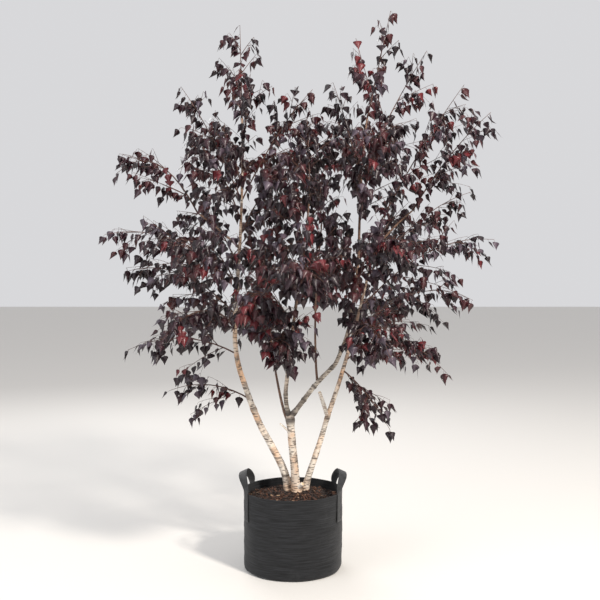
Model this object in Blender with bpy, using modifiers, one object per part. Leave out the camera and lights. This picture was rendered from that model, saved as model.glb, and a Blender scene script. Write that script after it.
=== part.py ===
"""A purple silver birch with three stems in a fabric root bag, as named solids.

Metres, +Z up. The origin is the centre of the bag's flat underside, +X is to the
right and -Y to the front. Stems and boughs are tapering tubes along leaning paths.
Each mass of foliage is one fused solid: a main twig from its limb to a named tip,
side twigs by a seeded rule, and flat leaves that hang from them.
"""

import math

import bmesh
import bpy
import numpy as np
from mathutils import Matrix, Vector
from mathutils.bvhtree import BVHTree

# Air between two neighbouring solids
GAP = 0.0003

# Root bag: a turned fabric shell with nearly straight sides
BAG_HEIGHT = 0.390
BAG_RIM_RADIUS = 0.250
BAG_FOOT_RADIUS = 0.245
BAG_CORNER = 0.014
BAG_FABRIC = 0.004
BAG_STEPS = 36

# Compost: it fills the bag to just under the rim, with a flat top where the stems stand
COMPOST_EDGE_HEIGHT = 0.343
COMPOST_TOP_HEIGHT = 0.369
COMPOST_TOP_RADIUS = 0.100

# Handles: one strap on each side, sewn to the wall at both ends and arched above the rim
STRAP_WIDTH = 0.045
STRAP_THICKNESS = 0.003
STRAP_SEWN_LENGTH = 0.137
STRAP_HALF_SPAN = math.radians(29)
STRAP_MIDDLE = math.radians(4)
STRAP_ARCH_HEIGHT = 0.084
STRAP_TOP_RADIUS = 0.250
STRAP_BULGE = 0.003
STRAP_TOP_TILT = math.radians(25)
STRAP_SEWN_STEPS = 2
STRAP_ARCH_STEPS = 14

# Stems and boughs. Leans are in degrees at a distance along the limb: right, then back.
PATH_STEP = 0.01
TAPER_POWER = 1.4
ROOT_FLARE = 0.30
ROOT_FLARE_HEIGHT = 0.035
STEM_FOOT_HEIGHT = COMPOST_TOP_HEIGHT + GAP
LIMB_TIP = 9.0
LIMBS = {
    "stem_left": {
        "foot": (-0.0235, 0.052),
        "radii": (0.0200, 0.0048),
        "sides": 8,
        "ring_step": 0.10,
        "leans": (
            (0.00, -8, 2), (0.06, -13, 2), (0.12, -24, 2), (0.20, -29, 2), (0.32, -29, 1),
            (0.38, -24, 1), (0.50, -20, 1), (0.62, -19, 1), (0.74, -9, 1), (0.86, 1.5, 1),
            (1.10, 4, 1), (1.40, 2.5, 0), (1.95, -1, -1),
        ),
    },
    "stem_middle": {
        "foot": (0.020, 0.013),
        "radii": (0.0210, 0.0190),
        "sides": 8,
        "ring_step": 0.08,
        "leans": ((0.00, -8, -1), (0.06, -4.5, -1), (0.20, -5.5, -1), (0.392, -4, -2)),
    },
    "stem_right": {
        "foot": (0.0610, 0.052),
        "radii": (0.0168, 0.0048),
        "sides": 8,
        "ring_step": 0.13,
        "leans": (
            (0.00, 13, 5), (0.05, 16, 6), (0.13, 20, 7), (0.25, 18, 7), (0.35, 17, 7),
            (0.45, 20, 7), (0.62, 17.5, 7), (0.80, 16, 7), (1.20, 13, 6), (1.45, 16, 4),
        ),
    },
    "bough_right": {
        "parent": ("stem_middle", LIMB_TIP),
        "radii": (0.0130, 0.0044),
        "sides": 6,
        "ring_step": 0.10,
        "leans": (
            (0.00, 38, 0), (0.16, 37, -1), (0.23, 42, -2), (0.30, 46, -3), (0.34, 43, -4),
            (0.37, 24, -4), (0.45, 22, -4), (0.56, 11, -4), (0.77, 7, -3), (0.98, 1, -2),
            (1.15, 2, -1), (1.60, 7, 0),
        ),
    },
    "bough_centre": {
        "parent": ("stem_middle", LIMB_TIP),
        "also_clear_of": "bough_right",
        "radii": (0.0118, 0.0040),
        "sides": 6,
        "ring_step": 0.11,
        "leans": (
            (0.00, -22, -3), (0.08, -6, -6), (0.16, 6, -12), (0.30, 6, -18), (0.60, 9, -15),
            (1.15, 5, -2),
        ),
    },
    "bough_upright": {
        "parent": ("bough_right", 0.922),
        "radii": (0.0062, 0.0036),
        "sides": 6,
        "ring_step": 0.11,
        "leans": ((0.00, -7, 14), (0.10, -2, 18), (0.20, -1, 22), (0.50, 4, 18), (0.85, 6, 8)),
    },
    "bough_back": {
        "parent": ("stem_middle", 0.700),
        "radii": (0.0078, 0.0036),
        "sides": 6,
        "ring_step": 0.10,
        "leans": ((0.00, -34, 26), (0.10, -16, 28), (0.25, -12, 30), (0.45, -8, 24), (0.70, -4, 10)),
    },
    "bough_left_arch": {
        "parent": ("stem_left", 1.60),
        "radii": (0.0068, 0.0040),
        "sides": 6,
        "ring_step": 0.08,
        "leans": ((0.00, -46, -2), (0.28, -54, 0)),
    },
    "bough_right_outer": {
        "parent": ("stem_right", 1.58),
        "radii": (0.0068, 0.0040),
        "sides": 6,
        "ring_step": 0.08,
        "leans": ((0.00, 34, -10), (0.16, 44, -14), (0.30, 50, -18)),
    },
    "bough_front": {
        "parent": ("bough_centre", 1.30),
        "radii": (0.0062, 0.0038),
        "sides": 6,
        "ring_step": 0.08,
        "leans": ((0.00, 8, -52), (0.26, 6, -66)),
    },
}

# Pruned stubs that are part of their stem: height, lean to the right and back, length, radius
STUBS = {
    "stem_middle": ((0.664, -47, -12, 0.078, 0.0050), (0.386, 48, -40, 0.050, 0.0125)),
    "stem_right": ((0.735, -18, -6, 0.136, 0.0098),),
}
STUB_TAPER = 0.88

# Masses of foliage: limb, height at which they leave it, tip, arch above the straight line,
# and share of the full number of twigs
MASSES = {
    "leaves_low_left": ("stem_left", 0.83, (-0.62, 0.02, 0.88), 0.05, 0.6),
    "leaves_lower_left": ("stem_left", 1.06, (-0.82, -0.05, 1.09), 0.07, 0.7),
    "leaves_lower_left_front": ("stem_left", 1.20, (-0.60, -0.42, 1.16), 0.11, 1.0),
    "leaves_lower_left_back": ("stem_left", 1.18, (-0.60, 0.50, 1.15), 0.11, 1.0),
    "leaves_middle_left": ("stem_left", 1.26, (-0.86, 0.12, 1.48), 0.10, 1.0),
    "leaves_outer_left": ("stem_left", 1.42, (-0.90, -0.20, 1.66), 0.10, 0.9),
    "leaves_left_arch": ("bough_left_arch", LIMB_TIP, (-0.89, 0.00, 1.97), 0.15, 0.9),
    "leaves_left_front": ("stem_left", 1.40, (-0.50, -0.60, 1.53), 0.13, 1.0),
    "leaves_left_back": ("stem_left", 1.50, (-0.62, 0.62, 1.78), 0.12, 1.0),
    "leaves_upper_left_front": ("stem_left", 1.74, (-0.46, -0.38, 2.06), 0.08, 1.0),
    "leaves_upper_left": ("stem_left", 1.84, (-0.57, 0.05, 2.42), 0.04, 0.9),
    "leaves_upper_left_back": ("stem_left", 1.90, (-0.42, 0.42, 2.26), 0.08, 1.0),
    "leaves_left_peak": ("stem_left", LIMB_TIP, (-0.27, 0.06, 2.735), 0.00, 1.2),
    "leaves_left_peak_front": ("stem_left", 2.00, (-0.20, -0.24, 2.42), 0.05, 0.9),
    "leaves_left_inner": ("stem_left", 1.66, (-0.02, 0.12, 2.04), 0.05, 1.0),
    "leaves_left_peak_right": ("stem_left", 1.84, (0.10, 0.02, 2.40), 0.05, 0.9),
    "leaves_low_centre": ("bough_centre", 1.08, (-0.06, -0.52, 1.08), 0.12, 1.0),
    "leaves_centre_left": ("bough_centre", 1.20, (-0.24, -0.56, 1.30), 0.13, 1.0),
    "leaves_centre_front": ("bough_front", LIMB_TIP, (0.08, -0.80, 1.42), 0.08, 1.2),
    "leaves_centre_inner": ("bough_centre", 1.40, (-0.12, -0.26, 1.70), 0.04, 1.0),
    "leaves_centre_high": ("bough_centre", 1.58, (-0.06, -0.44, 1.98), 0.06, 1.0),
    "leaves_centre_top": ("bough_centre", LIMB_TIP, (0.07, -0.10, 2.24), 0.03, 1.2),
    "leaves_right_inner": ("bough_right", 1.34, (0.14, -0.12, 1.80), 0.03, 1.0),
    "leaves_right_peak_left": ("bough_right", 1.92, (0.20, -0.05, 2.42), 0.03, 0.9),
    "leaves_right_peak": ("bough_right", LIMB_TIP, (0.49, -0.02, 2.785), 0.00, 1.2),
    "leaves_right_peak_right": ("bough_right", 1.96, (0.68, 0.04, 2.60), 0.03, 0.9),
    "leaves_high_right_front": ("bough_right", 1.72, (0.42, -0.46, 2.16), 0.07, 1.0),
    "leaves_high_right_back": ("bough_right", 1.86, (0.32, 0.42, 2.28), 0.06, 1.0),
    "leaves_right_front": ("bough_right", 1.42, (0.48, -0.64, 1.56), 0.13, 1.0),
    "leaves_low_right_front": ("bough_right", 1.12, (0.44, -0.50, 1.10), 0.12, 1.0),
    "leaves_upper_right": ("stem_right", LIMB_TIP, (0.88, 0.10, 2.44), 0.03, 1.1),
    "leaves_outer_right": ("bough_right_outer", LIMB_TIP, (0.97, -0.12, 2.26), 0.04, 1.0),
    "leaves_middle_right": ("stem_right", 1.46, (0.94, 0.24, 1.90), 0.07, 0.9),
    "leaves_side_right": ("stem_right", 1.28, (1.00, -0.05, 1.64), 0.11, 0.9),
    "leaves_lower_right": ("stem_right", 1.14, (0.92, 0.20, 1.34), 0.12, 0.9),
    "leaves_drooping_right": ("stem_right", 1.02, (0.76, -0.06, 0.98), 0.13, 0.7),
    "leaves_low_right": ("stem_right", 0.97, (0.48, -0.08, 0.70), 0.03, 0.6),
    "leaves_low_right_back": ("stem_right", 1.20, (0.52, 0.66, 1.24), 0.12, 1.0),
    "leaves_right_back": ("stem_right", 1.54, (0.66, 0.62, 1.78), 0.10, 1.0),
    "leaves_low_back": ("bough_back", 1.08, (-0.24, 0.66, 1.18), 0.11, 1.0),
    "leaves_back_left": ("bough_back", LIMB_TIP, (-0.20, 0.76, 1.62), 0.08, 1.0),
    "leaves_back_centre": ("bough_upright", 1.28, (0.16, 0.80, 1.42), 0.13, 1.0),
    "leaves_upper_back": ("bough_upright", LIMB_TIP, (0.08, 0.48, 2.12), 0.06, 1.0),
}

# Rule for the twigs of a mass
SEED = 11
MAIN_TWIG_STEPS = 10
MAIN_TWIG_RADIUS = 0.0036
TWIG_POINT_RADIUS = 0.0009
TWIGS_PER_METRE = 7.0
FIRST_TWIG_SHARE = 0.05
TWIG_SHARE_SPAN = 0.80
TWIG_CROWDING = 1.35
TWIG_TURN = math.radians(137.5)
TWIG_TURN_PLAY = 0.3
TWIG_SPREAD = (math.radians(30), math.radians(50))
TWIG_FLATNESS = 0.8
TWIG_LENGTH_SHARE = 0.54
TWIG_LENGTH_FALL = 1.1
TWIG_LENGTH_LEAST = 0.03
TWIG_LENGTH_PLAY = (0.75, 1.25)
TWIG_SAG = (0.0, 0.5)
TWIG_STEPS = 6
TWIG_RADIUS = 0.0026

# Leaves, each standing for a spray of the real ones
LEAF_LENGTH = 0.132
LEAF_WIDTH = 0.104
LEAF_THICKNESS = 0.0034
LEAF_WIDEST_SHARE = 0.34
LEAF_SPACING = 0.165
LEAF_SIZE_PLAY = (0.82, 1.12)
LEAF_OUTWARD_PLAY = (-0.1, 0.6)
LEAF_SIDEWAYS = 0.25
LEAF_TURN_PLAY = 0.7
LEAF_SUNK = 0.0045
MAIN_TWIG_BARE = 0.10
SIDE_TWIG_BARE = 0.06

# Keeping masses apart
SPACE_SAMPLES = 32
SPACE_MARGIN = 0.004
LIMB_CLEARANCE = 0.003

COLOURS = {
    "bag_fabric": ((0.018, 0.019, 0.021, 1.0), 0.92),
    "webbing": ((0.024, 0.025, 0.028, 1.0), 0.85),
    "compost": ((0.045, 0.024, 0.015, 1.0), 0.95),
    "pale_bark": ((0.68, 0.55, 0.44, 1.0), 0.75),
    "brown_bark": ((0.17, 0.10, 0.07, 1.0), 0.70),
    "purple_leaves": ((0.050, 0.014, 0.022, 1.0), 0.45),
}


def clear_scene():
    """Removes whatever the file opened with."""
    for obj in list(bpy.data.objects):
        bpy.data.objects.remove(obj, do_unlink=True)


def new_collection(name, hidden=False):
    """A collection under the scene; a hidden one holds cutters and is left out of renders."""
    collection = bpy.data.collections.new(name)
    bpy.context.scene.collection.children.link(collection)
    collection.hide_render = hidden
    return collection


def finish_of(name):
    """The material with that name's colour and roughness."""
    known = bpy.data.materials.get(name)
    if known:
        return known
    colour, roughness = COLOURS[name]
    material = bpy.data.materials.new(name)
    material.use_nodes = True
    shader = material.node_tree.nodes["Principled BSDF"]
    shader.inputs["Base Color"].default_value = colour
    shader.inputs["Roughness"].default_value = roughness
    shader.inputs["Metallic"].default_value = 0.0
    return material


def place(obj, collection, material):
    """Puts an object in one collection with one material."""
    for old in list(obj.users_collection):
        old.objects.unlink(obj)
    collection.objects.link(obj)
    if obj.type == "MESH":
        obj.data.materials.clear()
        obj.data.materials.append(finish_of(material))
    return obj


def hide_cutter(obj):
    """A cutter is shown as wire and never rendered."""
    obj.hide_render = True
    obj.display_type = "WIRE"


def evaluated_copy(obj, name):
    """A new mesh with the object's modifiers applied, in world space, with its seams welded."""
    bpy.context.view_layer.update()
    graph = bpy.context.evaluated_depsgraph_get()
    mesh = bpy.data.meshes.new_from_object(obj.evaluated_get(graph), depsgraph=graph)
    mesh.name = name
    mesh.transform(obj.matrix_world)
    shape = bmesh.new()
    shape.from_mesh(mesh)
    bmesh.ops.remove_doubles(shape, verts=shape.verts, dist=1e-6)
    face_outwards(shape)
    shape.to_mesh(mesh)
    shape.free()
    return mesh


def face_outwards(shape):
    """Turns the faces of a closed shape outwards, all of them together."""
    bmesh.ops.recalc_face_normals(shape, faces=shape.faces)
    if shape.calc_volume(signed=True) < 0:
        bmesh.ops.reverse_faces(shape, faces=shape.faces)


# Bag, compost and handles


def turned(name, profile, material, collection):
    """A solid of revolution: the profile runs down its outer side and back up to the axis."""
    mesh = bpy.data.meshes.new(name)
    points = [(radius, 0.0, height) for radius, height in profile]
    mesh.from_pydata(points, [(i, i + 1) for i in range(len(points) - 1)], [])
    obj = bpy.data.objects.new(name, mesh)
    place(obj, collection, material)
    screw = obj.modifiers.new("turn", "SCREW")
    screw.angle = 2 * math.pi
    screw.steps = BAG_STEPS
    screw.render_steps = BAG_STEPS
    screw.use_merge_vertices = True
    screw.merge_threshold = 1e-5
    screw.use_smooth_shade = False
    return obj


def wall_radius(height):
    """Outer radius of the bag's wall at a height."""
    return BAG_FOOT_RADIUS + (BAG_RIM_RADIUS - BAG_FOOT_RADIUS) * height / BAG_HEIGHT


def corner(outset, first_height):
    """The rounded corner between wall and floor, moved in by outset, from top to bottom."""
    radius = BAG_CORNER - outset
    middle = (BAG_FOOT_RADIUS - BAG_CORNER, first_height + radius)
    turns = [math.radians(angle) for angle in (0, -45, -90)]
    return [(middle[0] + radius * math.cos(a), middle[1] + radius * math.sin(a)) for a in turns]


def make_bag(collection):
    """The root bag: wall, rim and floor in one turned shell of even thickness."""
    outside = [(BAG_RIM_RADIUS, BAG_HEIGHT)] + corner(0.0, 0.0) + [(0.0, 0.0)]
    inside = [(BAG_RIM_RADIUS - BAG_FABRIC, BAG_HEIGHT)] + corner(BAG_FABRIC, BAG_FABRIC)
    inside += [(0.0, BAG_FABRIC)]
    return turned("bag", inside[::-1] + outside, "bag_fabric", collection)


def make_compost(collection):
    """The fill: a turned plug, clear of the bag by the gap, that rises to a flat middle."""
    floor = BAG_FABRIC + GAP
    edge_radius = wall_radius(COMPOST_EDGE_HEIGHT) - BAG_FABRIC - 2 * GAP
    top = [(0.0, COMPOST_TOP_HEIGHT), (COMPOST_TOP_RADIUS, COMPOST_TOP_HEIGHT)]
    bottom = corner(BAG_FABRIC + 2 * GAP, floor) + [(0.0, floor)]
    profile = top + [(edge_radius, COMPOST_EDGE_HEIGHT)] + bottom
    return turned("compost", profile, "compost", collection)


def strap_section(share):
    """Centre, width direction and outward direction of the strap, for a share of its length.

    The ends lie flat on the wall. Between them the strap rises in an arch whose width turns
    from lying along the wall, through outward at the top, to lying along the wall again.
    """
    sewn = STRAP_SEWN_STEPS / (2 * STRAP_SEWN_STEPS + STRAP_ARCH_STEPS)
    if share < sewn or share > 1 - sewn:
        side = -1 if share < sewn else 1
        fall = 1 - min(share, 1 - share) / sewn
        around = STRAP_MIDDLE + side * STRAP_HALF_SPAN
        height = BAG_HEIGHT - STRAP_SEWN_LENGTH * fall
        radius = wall_radius(height) + GAP + STRAP_THICKNESS / 2
        turn = side * math.pi / 2
        tilt = 0.0
    else:
        arch = (share - sewn) / (1 - 2 * sewn)
        around = STRAP_MIDDLE - STRAP_HALF_SPAN * math.cos(math.pi * arch)
        rise = math.sin(math.pi * arch)
        height = BAG_HEIGHT + STRAP_ARCH_HEIGHT * rise
        radius = BAG_RIM_RADIUS + GAP + STRAP_THICKNESS / 2
        radius += (STRAP_TOP_RADIUS - radius) * rise**2
        radius += STRAP_BULGE * 4 * rise**2 * (1 - rise**2)
        turn = math.pi * (arch - 0.5)
        tilt = STRAP_TOP_TILT * rise**2
    outward = Vector((math.cos(around), math.sin(around), 0.0))
    along = Vector((-outward.y, outward.x, 0.0))
    centre = outward * radius + Vector((0.0, 0.0, height))
    wide = outward * math.cos(turn) * math.cos(tilt) - along * math.sin(turn)
    wide.z = -math.sin(tilt)
    return centre, wide.normalized()


def make_handle(name, side, collection):
    """One strap, as a ribbon with thickness. Side is 1 on the right and -1 on the left."""
    steps = 2 * STRAP_SEWN_STEPS + STRAP_ARCH_STEPS
    shape = bmesh.new()
    bmesh.ops.create_grid(shape, x_segments=1, y_segments=steps, size=0.5)
    for vertex in shape.verts:
        centre, wide = strap_section(min(1.0, max(0.0, vertex.co.y + 0.5)))
        point = centre + wide * STRAP_WIDTH * math.copysign(0.5, vertex.co.x)
        vertex.co = (side * point.x, point.y, point.z)
    mesh = bpy.data.meshes.new(name)
    shape.to_mesh(mesh)
    shape.free()
    obj = place(bpy.data.objects.new(name, mesh), collection, "webbing")
    solidify = obj.modifiers.new("thickness", "SOLIDIFY")
    solidify.thickness = STRAP_THICKNESS
    solidify.offset = 0.0
    solidify.use_even_offset = True
    return obj


# Stems and boughs


def heading(lean_right, lean_back):
    """Unit direction of something that leans from upright by these angles, in degrees."""
    return Vector((math.tan(math.radians(lean_right)), math.tan(math.radians(lean_back)), 1)).normalized()


def leaning_path(start, leans):
    """Fine points along a limb: each step follows the lean read off at its distance."""
    distance, right, back = np.array(leans, float).T
    count = round(distance[-1] / PATH_STEP)
    middles = (np.arange(count) + 0.5) * distance[-1] / count
    slopes = [np.tan(np.radians(np.interp(middles, distance, lean))) for lean in (right, back)]
    steps = np.stack([*slopes, np.ones(count)], axis=1)
    steps *= distance[-1] / count / np.linalg.norm(steps, axis=1)[:, None]
    return np.vstack([start, start + np.cumsum(steps, axis=0)])


def limb_radii(path, row, is_stem):
    """Radius at each point: a taper that is quickest low down, and a stem's root flare."""
    share = np.linspace(0, 1, len(path))
    foot, tip = row["radii"]
    radii = tip + (foot - tip) * (1 - share) ** TAPER_POWER
    if is_stem:
        radii *= 1 + ROOT_FLARE * np.exp(-(path[:, 2] - path[0, 2]) / ROOT_FLARE_HEIGHT)
    return radii


def point_at(path, height):
    """The point where a path reaches a height, or its tip if it doesn't."""
    if path[-1, 2] <= height:
        return path[-1]
    above = int(np.argmax(path[:, 2] > height))
    low, high = path[above - 1], path[above]
    return low + (high - low) * (height - low[2]) / (high[2] - low[2])


def tube(name, points, radii, sides):
    """A closed tube of that many sides through the points, made from a bevelled curve."""
    curve = bpy.data.curves.new(name, "CURVE")
    curve.dimensions = "3D"
    curve.use_fill_caps = True
    curve.twist_mode = "MINIMUM"
    profile = None
    if sides == 3:
        profile = bpy.data.objects.new("triangle", triangle_profile())
        bpy.context.scene.collection.objects.link(profile)
        curve.bevel_mode = "OBJECT"
        curve.bevel_object = profile
    else:
        curve.bevel_depth = 1.0
        curve.bevel_resolution = (sides - 4) // 2
    spline = curve.splines.new("POLY")
    spline.points.add(len(points) - 1)
    for target, point, radius in zip(spline.points, points, radii):
        target.co = (*point, 1.0)
        target.radius = radius
    obj = bpy.data.objects.new(name, curve)
    bpy.context.scene.collection.objects.link(obj)
    mesh = evaluated_copy(obj, name)
    bpy.data.objects.remove(obj)
    bpy.data.curves.remove(curve)
    if profile:
        bpy.data.objects.remove(profile)
    return mesh


def triangle_profile():
    """A closed three-sided outline of unit radius, for twigs."""
    known = bpy.data.curves.get("triangle_outline")
    if known:
        return known
    outline = bpy.data.curves.new("triangle_outline", "CURVE")
    outline.dimensions = "2D"
    outline.fill_mode = "NONE"
    spline = outline.splines.new("POLY")
    spline.points.add(2)
    for index, target in enumerate(spline.points):
        angle = 2 * math.pi * index / 3
        target.co = (math.cos(angle), math.sin(angle), 0.0, 1.0)
    spline.use_cyclic_u = True
    return outline


def ring_points(path, radii, step, lengthen=0.0):
    """Every so often a point of the fine path, ends included, with its radius."""
    count = max(1, round((len(path) - 1) * PATH_STEP / step))
    chosen = np.unique(np.round(np.linspace(0, len(path) - 1, count + 1)).astype(int))
    if len(path) > 40 and path[0, 2] < BAG_HEIGHT:
        chosen = np.union1d(chosen, [2, 5])
    points, sizes = path[chosen].copy(), radii[chosen].copy()
    for end, before in ((0, 1), (-1, -2)):
        away = points[end] - points[before]
        points[end] += lengthen * away / np.linalg.norm(away)
    return points, sizes


def grow_limb(name, row, grown):
    """Path, radii and the two meshes of a limb: its own and one that is the gap larger."""
    if "foot" in row:
        start = np.array([*row["foot"], STEM_FOOT_HEIGHT])
    else:
        parent, height = row["parent"]
        start = point_at(grown[parent]["path"], height)
        if height == LIMB_TIP:
            start = start - np.array([0, 0, grown[parent]["radii"][-1] * 0.8])
    path = leaning_path(start, row["leans"])
    radii = limb_radii(path, row, "foot" in row)
    points, sizes = ring_points(path, radii, row["ring_step"])
    solid = tube(name, points, sizes, row["sides"])
    if "foot" in row:
        flatten_foot(solid, STEM_FOOT_HEIGHT, path[1] - path[0])
    points, sizes = ring_points(path, radii, row["ring_step"], GAP)
    clear = tube(name + "_clearance", points, sizes + 1.15 * GAP, row["sides"])
    return {"path": path, "radii": radii, "solid": solid, "clearance": clear}


def flatten_foot(mesh, height, direction):
    """Slides the ring at a stem's foot along the stem, so that its cut is level."""
    for vertex in mesh.vertices:
        if vertex.co.z < height + 0.015:
            slide = (height - vertex.co.z) / direction[2]
            vertex.co += Vector(direction) * slide


def add_boolean(obj, operation, solver, other=None, collection=None):
    """A Boolean modifier against one object or a whole collection."""
    boolean = obj.modifiers.new(operation.lower(), "BOOLEAN")
    boolean.operation = operation
    boolean.solver = solver
    if collection:
        boolean.operand_type = "COLLECTION"
        boolean.collection = collection
    else:
        boolean.object = other
    return boolean


def largest_body(mesh):
    """Drops loose scraps and sealed hollows: only the connected piece with most faces stays."""
    shape = bmesh.new()
    shape.from_mesh(mesh)
    bmesh.ops.remove_doubles(shape, verts=shape.verts, dist=1e-6)
    unseen = set(shape.faces)
    bodies = []
    while unseen:
        waiting = [unseen.pop()]
        body = list(waiting)
        while waiting:
            for edge in waiting.pop().edges:
                for face in edge.link_faces:
                    if face in unseen:
                        unseen.remove(face)
                        waiting.append(face)
                        body.append(face)
        bodies.append(body)
    bodies.sort(key=len)
    scraps = [face for body in bodies[:-1] for face in body]
    bmesh.ops.delete(shape, geom=scraps, context="FACES")
    shape.to_mesh(mesh)
    shape.free()


def fused(name, first, others, cutters, scratch, solver):
    """One mesh: the first joined with the others, then cut clear of the cutters."""
    base = bpy.data.objects.new(name, first)
    bpy.context.scene.collection.objects.link(base)
    for index, mesh in enumerate(others):
        scratch.objects.link(bpy.data.objects.new(f"{name}_{index}", mesh))
    if others:
        add_boolean(base, "UNION", solver, collection=scratch)
    for cutter in cutters:
        add_boolean(base, "DIFFERENCE", solver, other=cutter)
    bpy.context.view_layer.update()
    graph = bpy.context.evaluated_depsgraph_get()
    result = bpy.data.meshes.new_from_object(base.evaluated_get(graph), depsgraph=graph)
    for obj in list(scratch.objects) + [base]:
        bpy.data.objects.remove(obj)
    result.name = name
    largest_body(result)
    return result


def make_stubs(name, limb):
    """The short pruned ends that stand out of a stem, each from the stem's own axis."""
    stubs = []
    for height, right, back, length, radius in STUBS.get(name, ()):
        root = point_at(limb["path"], height)
        end = root + np.array(heading(right, back)) * length
        stubs.append(tube(name + "_stub", [root, end], [radius, radius * STUB_TAPER], 8))
    return stubs


def make_limbs(collection, cutters, scratch):
    """All stems and boughs. A bough starts on its parent's axis and is cut clear of it."""
    grown = {}
    for name, row in LIMBS.items():
        limb = grow_limb(name, row, grown)
        cutter = place(bpy.data.objects.new(name + "_clearance", limb["clearance"]), cutters, "pale_bark")
        hide_cutter(cutter)
        limb["cutter"] = cutter
        carriers = [row["parent"][0]] if "parent" in row else []
        carriers += [row["also_clear_of"]] if "also_clear_of" in row else []
        clear_of = [grown[carrier]["cutter"] for carrier in carriers]
        mesh = fused(name, limb["solid"], make_stubs(name, limb), clear_of, scratch, "MANIFOLD")
        bark = "pale_bark" if "foot" in row else "brown_bark"
        place(bpy.data.objects.new(name, mesh), collection, bark)
        grown[name] = limb
    return grown


# Foliage


def direction_of(vector):
    """The vector at unit length."""
    return vector / max(np.linalg.norm(vector), 1e-9)


def along(path, share):
    """Point and heading at a share of a path's length."""
    place_on = share * (len(path) - 1)
    step = min(len(path) - 2, int(place_on))
    move = path[step + 1] - path[step]
    return path[step] + move * (place_on - step), direction_of(move)


def length_of(path):
    """Length of a path."""
    return float(np.linalg.norm(np.diff(path, axis=0), axis=1).sum())


def off_axis(head, roll):
    """A direction square to the heading, turned round it by the roll, a little flattened."""
    level = np.cross(head, (0.0, 0.0, 1.0) if abs(head[2]) < 0.97 else (1.0, 0.0, 0.0))
    level = direction_of(level)
    side = math.cos(roll) * level + math.sin(roll) * np.cross(level, head)
    side[2] *= TWIG_FLATNESS
    return direction_of(side)


def sagging_path(start, head, length, sag, steps):
    """A twig's path: its heading turns down by the sag over its length."""
    points = [start]
    for _ in range(steps):
        head = direction_of(head + np.array([0.0, 0.0, -sag / steps]))
        points.append(points[-1] + head * length / steps)
    return np.array(points)


def main_path(row, grown):
    """A mass's main twig: straight from limb to tip, raised in the middle by its arch."""
    limb, height, tip, arch, _ = row
    root = point_at(grown[limb]["path"], height)
    share = np.linspace(0, 1, MAIN_TWIG_STEPS + 1)[:, None]
    return root + (np.array(tip) - root) * share + np.array([0, 0, 4 * arch]) * share * (1 - share)


def side_paths(main, fullness, dice):
    """Side twigs, closer together near the root and shorter towards the tip."""
    length = length_of(main)
    count = round(TWIGS_PER_METRE * fullness * length)
    roll = dice.uniform(0, 2 * math.pi)
    paths = []
    for index in range(count):
        share = FIRST_TWIG_SHARE + TWIG_SHARE_SPAN * ((index + 0.5) / count) ** TWIG_CROWDING
        point, head = along(main, share)
        roll += TWIG_TURN + dice.uniform(-TWIG_TURN_PLAY, TWIG_TURN_PLAY)
        spread = dice.uniform(*TWIG_SPREAD)
        aim = math.cos(spread) * head + math.sin(spread) * off_axis(head, roll)
        reach = TWIG_LENGTH_SHARE * length * (1 - share) ** TWIG_LENGTH_FALL + TWIG_LENGTH_LEAST
        reach *= dice.uniform(*TWIG_LENGTH_PLAY)
        paths.append(sagging_path(point, aim, reach, dice.uniform(*TWIG_SAG), TWIG_STEPS))
    return paths


def leaf_mesh(name, point, head, dice):
    """A flat leaf of eight faces: an octahedron drawn out from its stalk to its tip, hanging."""
    spin = dice.uniform(0, 2 * math.pi)
    outward = direction_of(np.array([head[0], head[1], 1e-6]))
    down = np.array([0.0, 0.0, -1.0]) + dice.uniform(*LEAF_OUTWARD_PLAY) * outward
    down += LEAF_SIDEWAYS * np.array([math.cos(spin), math.sin(spin), 0.0])
    down = direction_of(down)
    turn = math.atan2(outward[1], outward[0]) + math.pi / 2 + dice.normal(0, LEAF_TURN_PLAY)
    normal = direction_of(np.cross(down, (math.cos(turn), math.sin(turn), 0.0)))
    wide = np.cross(normal, down)
    size = dice.uniform(*LEAF_SIZE_PLAY)
    shape = bmesh.new()
    bmesh.ops.create_uvsphere(shape, u_segments=4, v_segments=2, radius=1.0)
    base = Vector(point - down * LEAF_SUNK)
    for vertex in shape.verts:
        x, y, z = vertex.co
        share = LEAF_WIDEST_SHARE if abs(y) < 0.5 else 0.5 + 0.5 * y
        vertex.co = (
            base
            + Vector(down) * share * LEAF_LENGTH * size
            + Vector(wide) * x * LEAF_WIDTH / 2 * size
            + Vector(normal) * z * LEAF_THICKNESS / 2
        )
    face_outwards(shape)
    mesh = bpy.data.meshes.new(name)
    shape.to_mesh(mesh)
    shape.free()
    return mesh


def leaf_places(path, bare, dice):
    """Where leaves hang on a twig: evenly past its bare start, and at its tip."""
    length = length_of(path)
    distance = bare + dice.uniform(0, 0.5) * LEAF_SPACING
    places = []
    while distance < length - LEAF_SPACING / 2:
        places.append(along(path, distance / length))
        distance += LEAF_SPACING
    places.append(along(path, 0.97))
    return places


def tree_of(meshes):
    """A search tree over the faces of several meshes."""
    points, faces = [], []
    for mesh in meshes:
        offset = len(points)
        points += [vertex.co.copy() for vertex in mesh.vertices]
        faces += [[offset + index for index in face.vertices] for face in mesh.polygons]
    return BVHTree.FromPolygons(points, faces) if faces else None


def samples_of(mesh):
    """Corners and edge middles of a mesh, as an array."""
    corners = np.array([vertex.co for vertex in mesh.vertices])
    middles = np.array([(corners[a] + corners[b]) / 2 for a, b in (edge.vertices for edge in mesh.edges)])
    return np.vstack([corners, middles])


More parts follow.
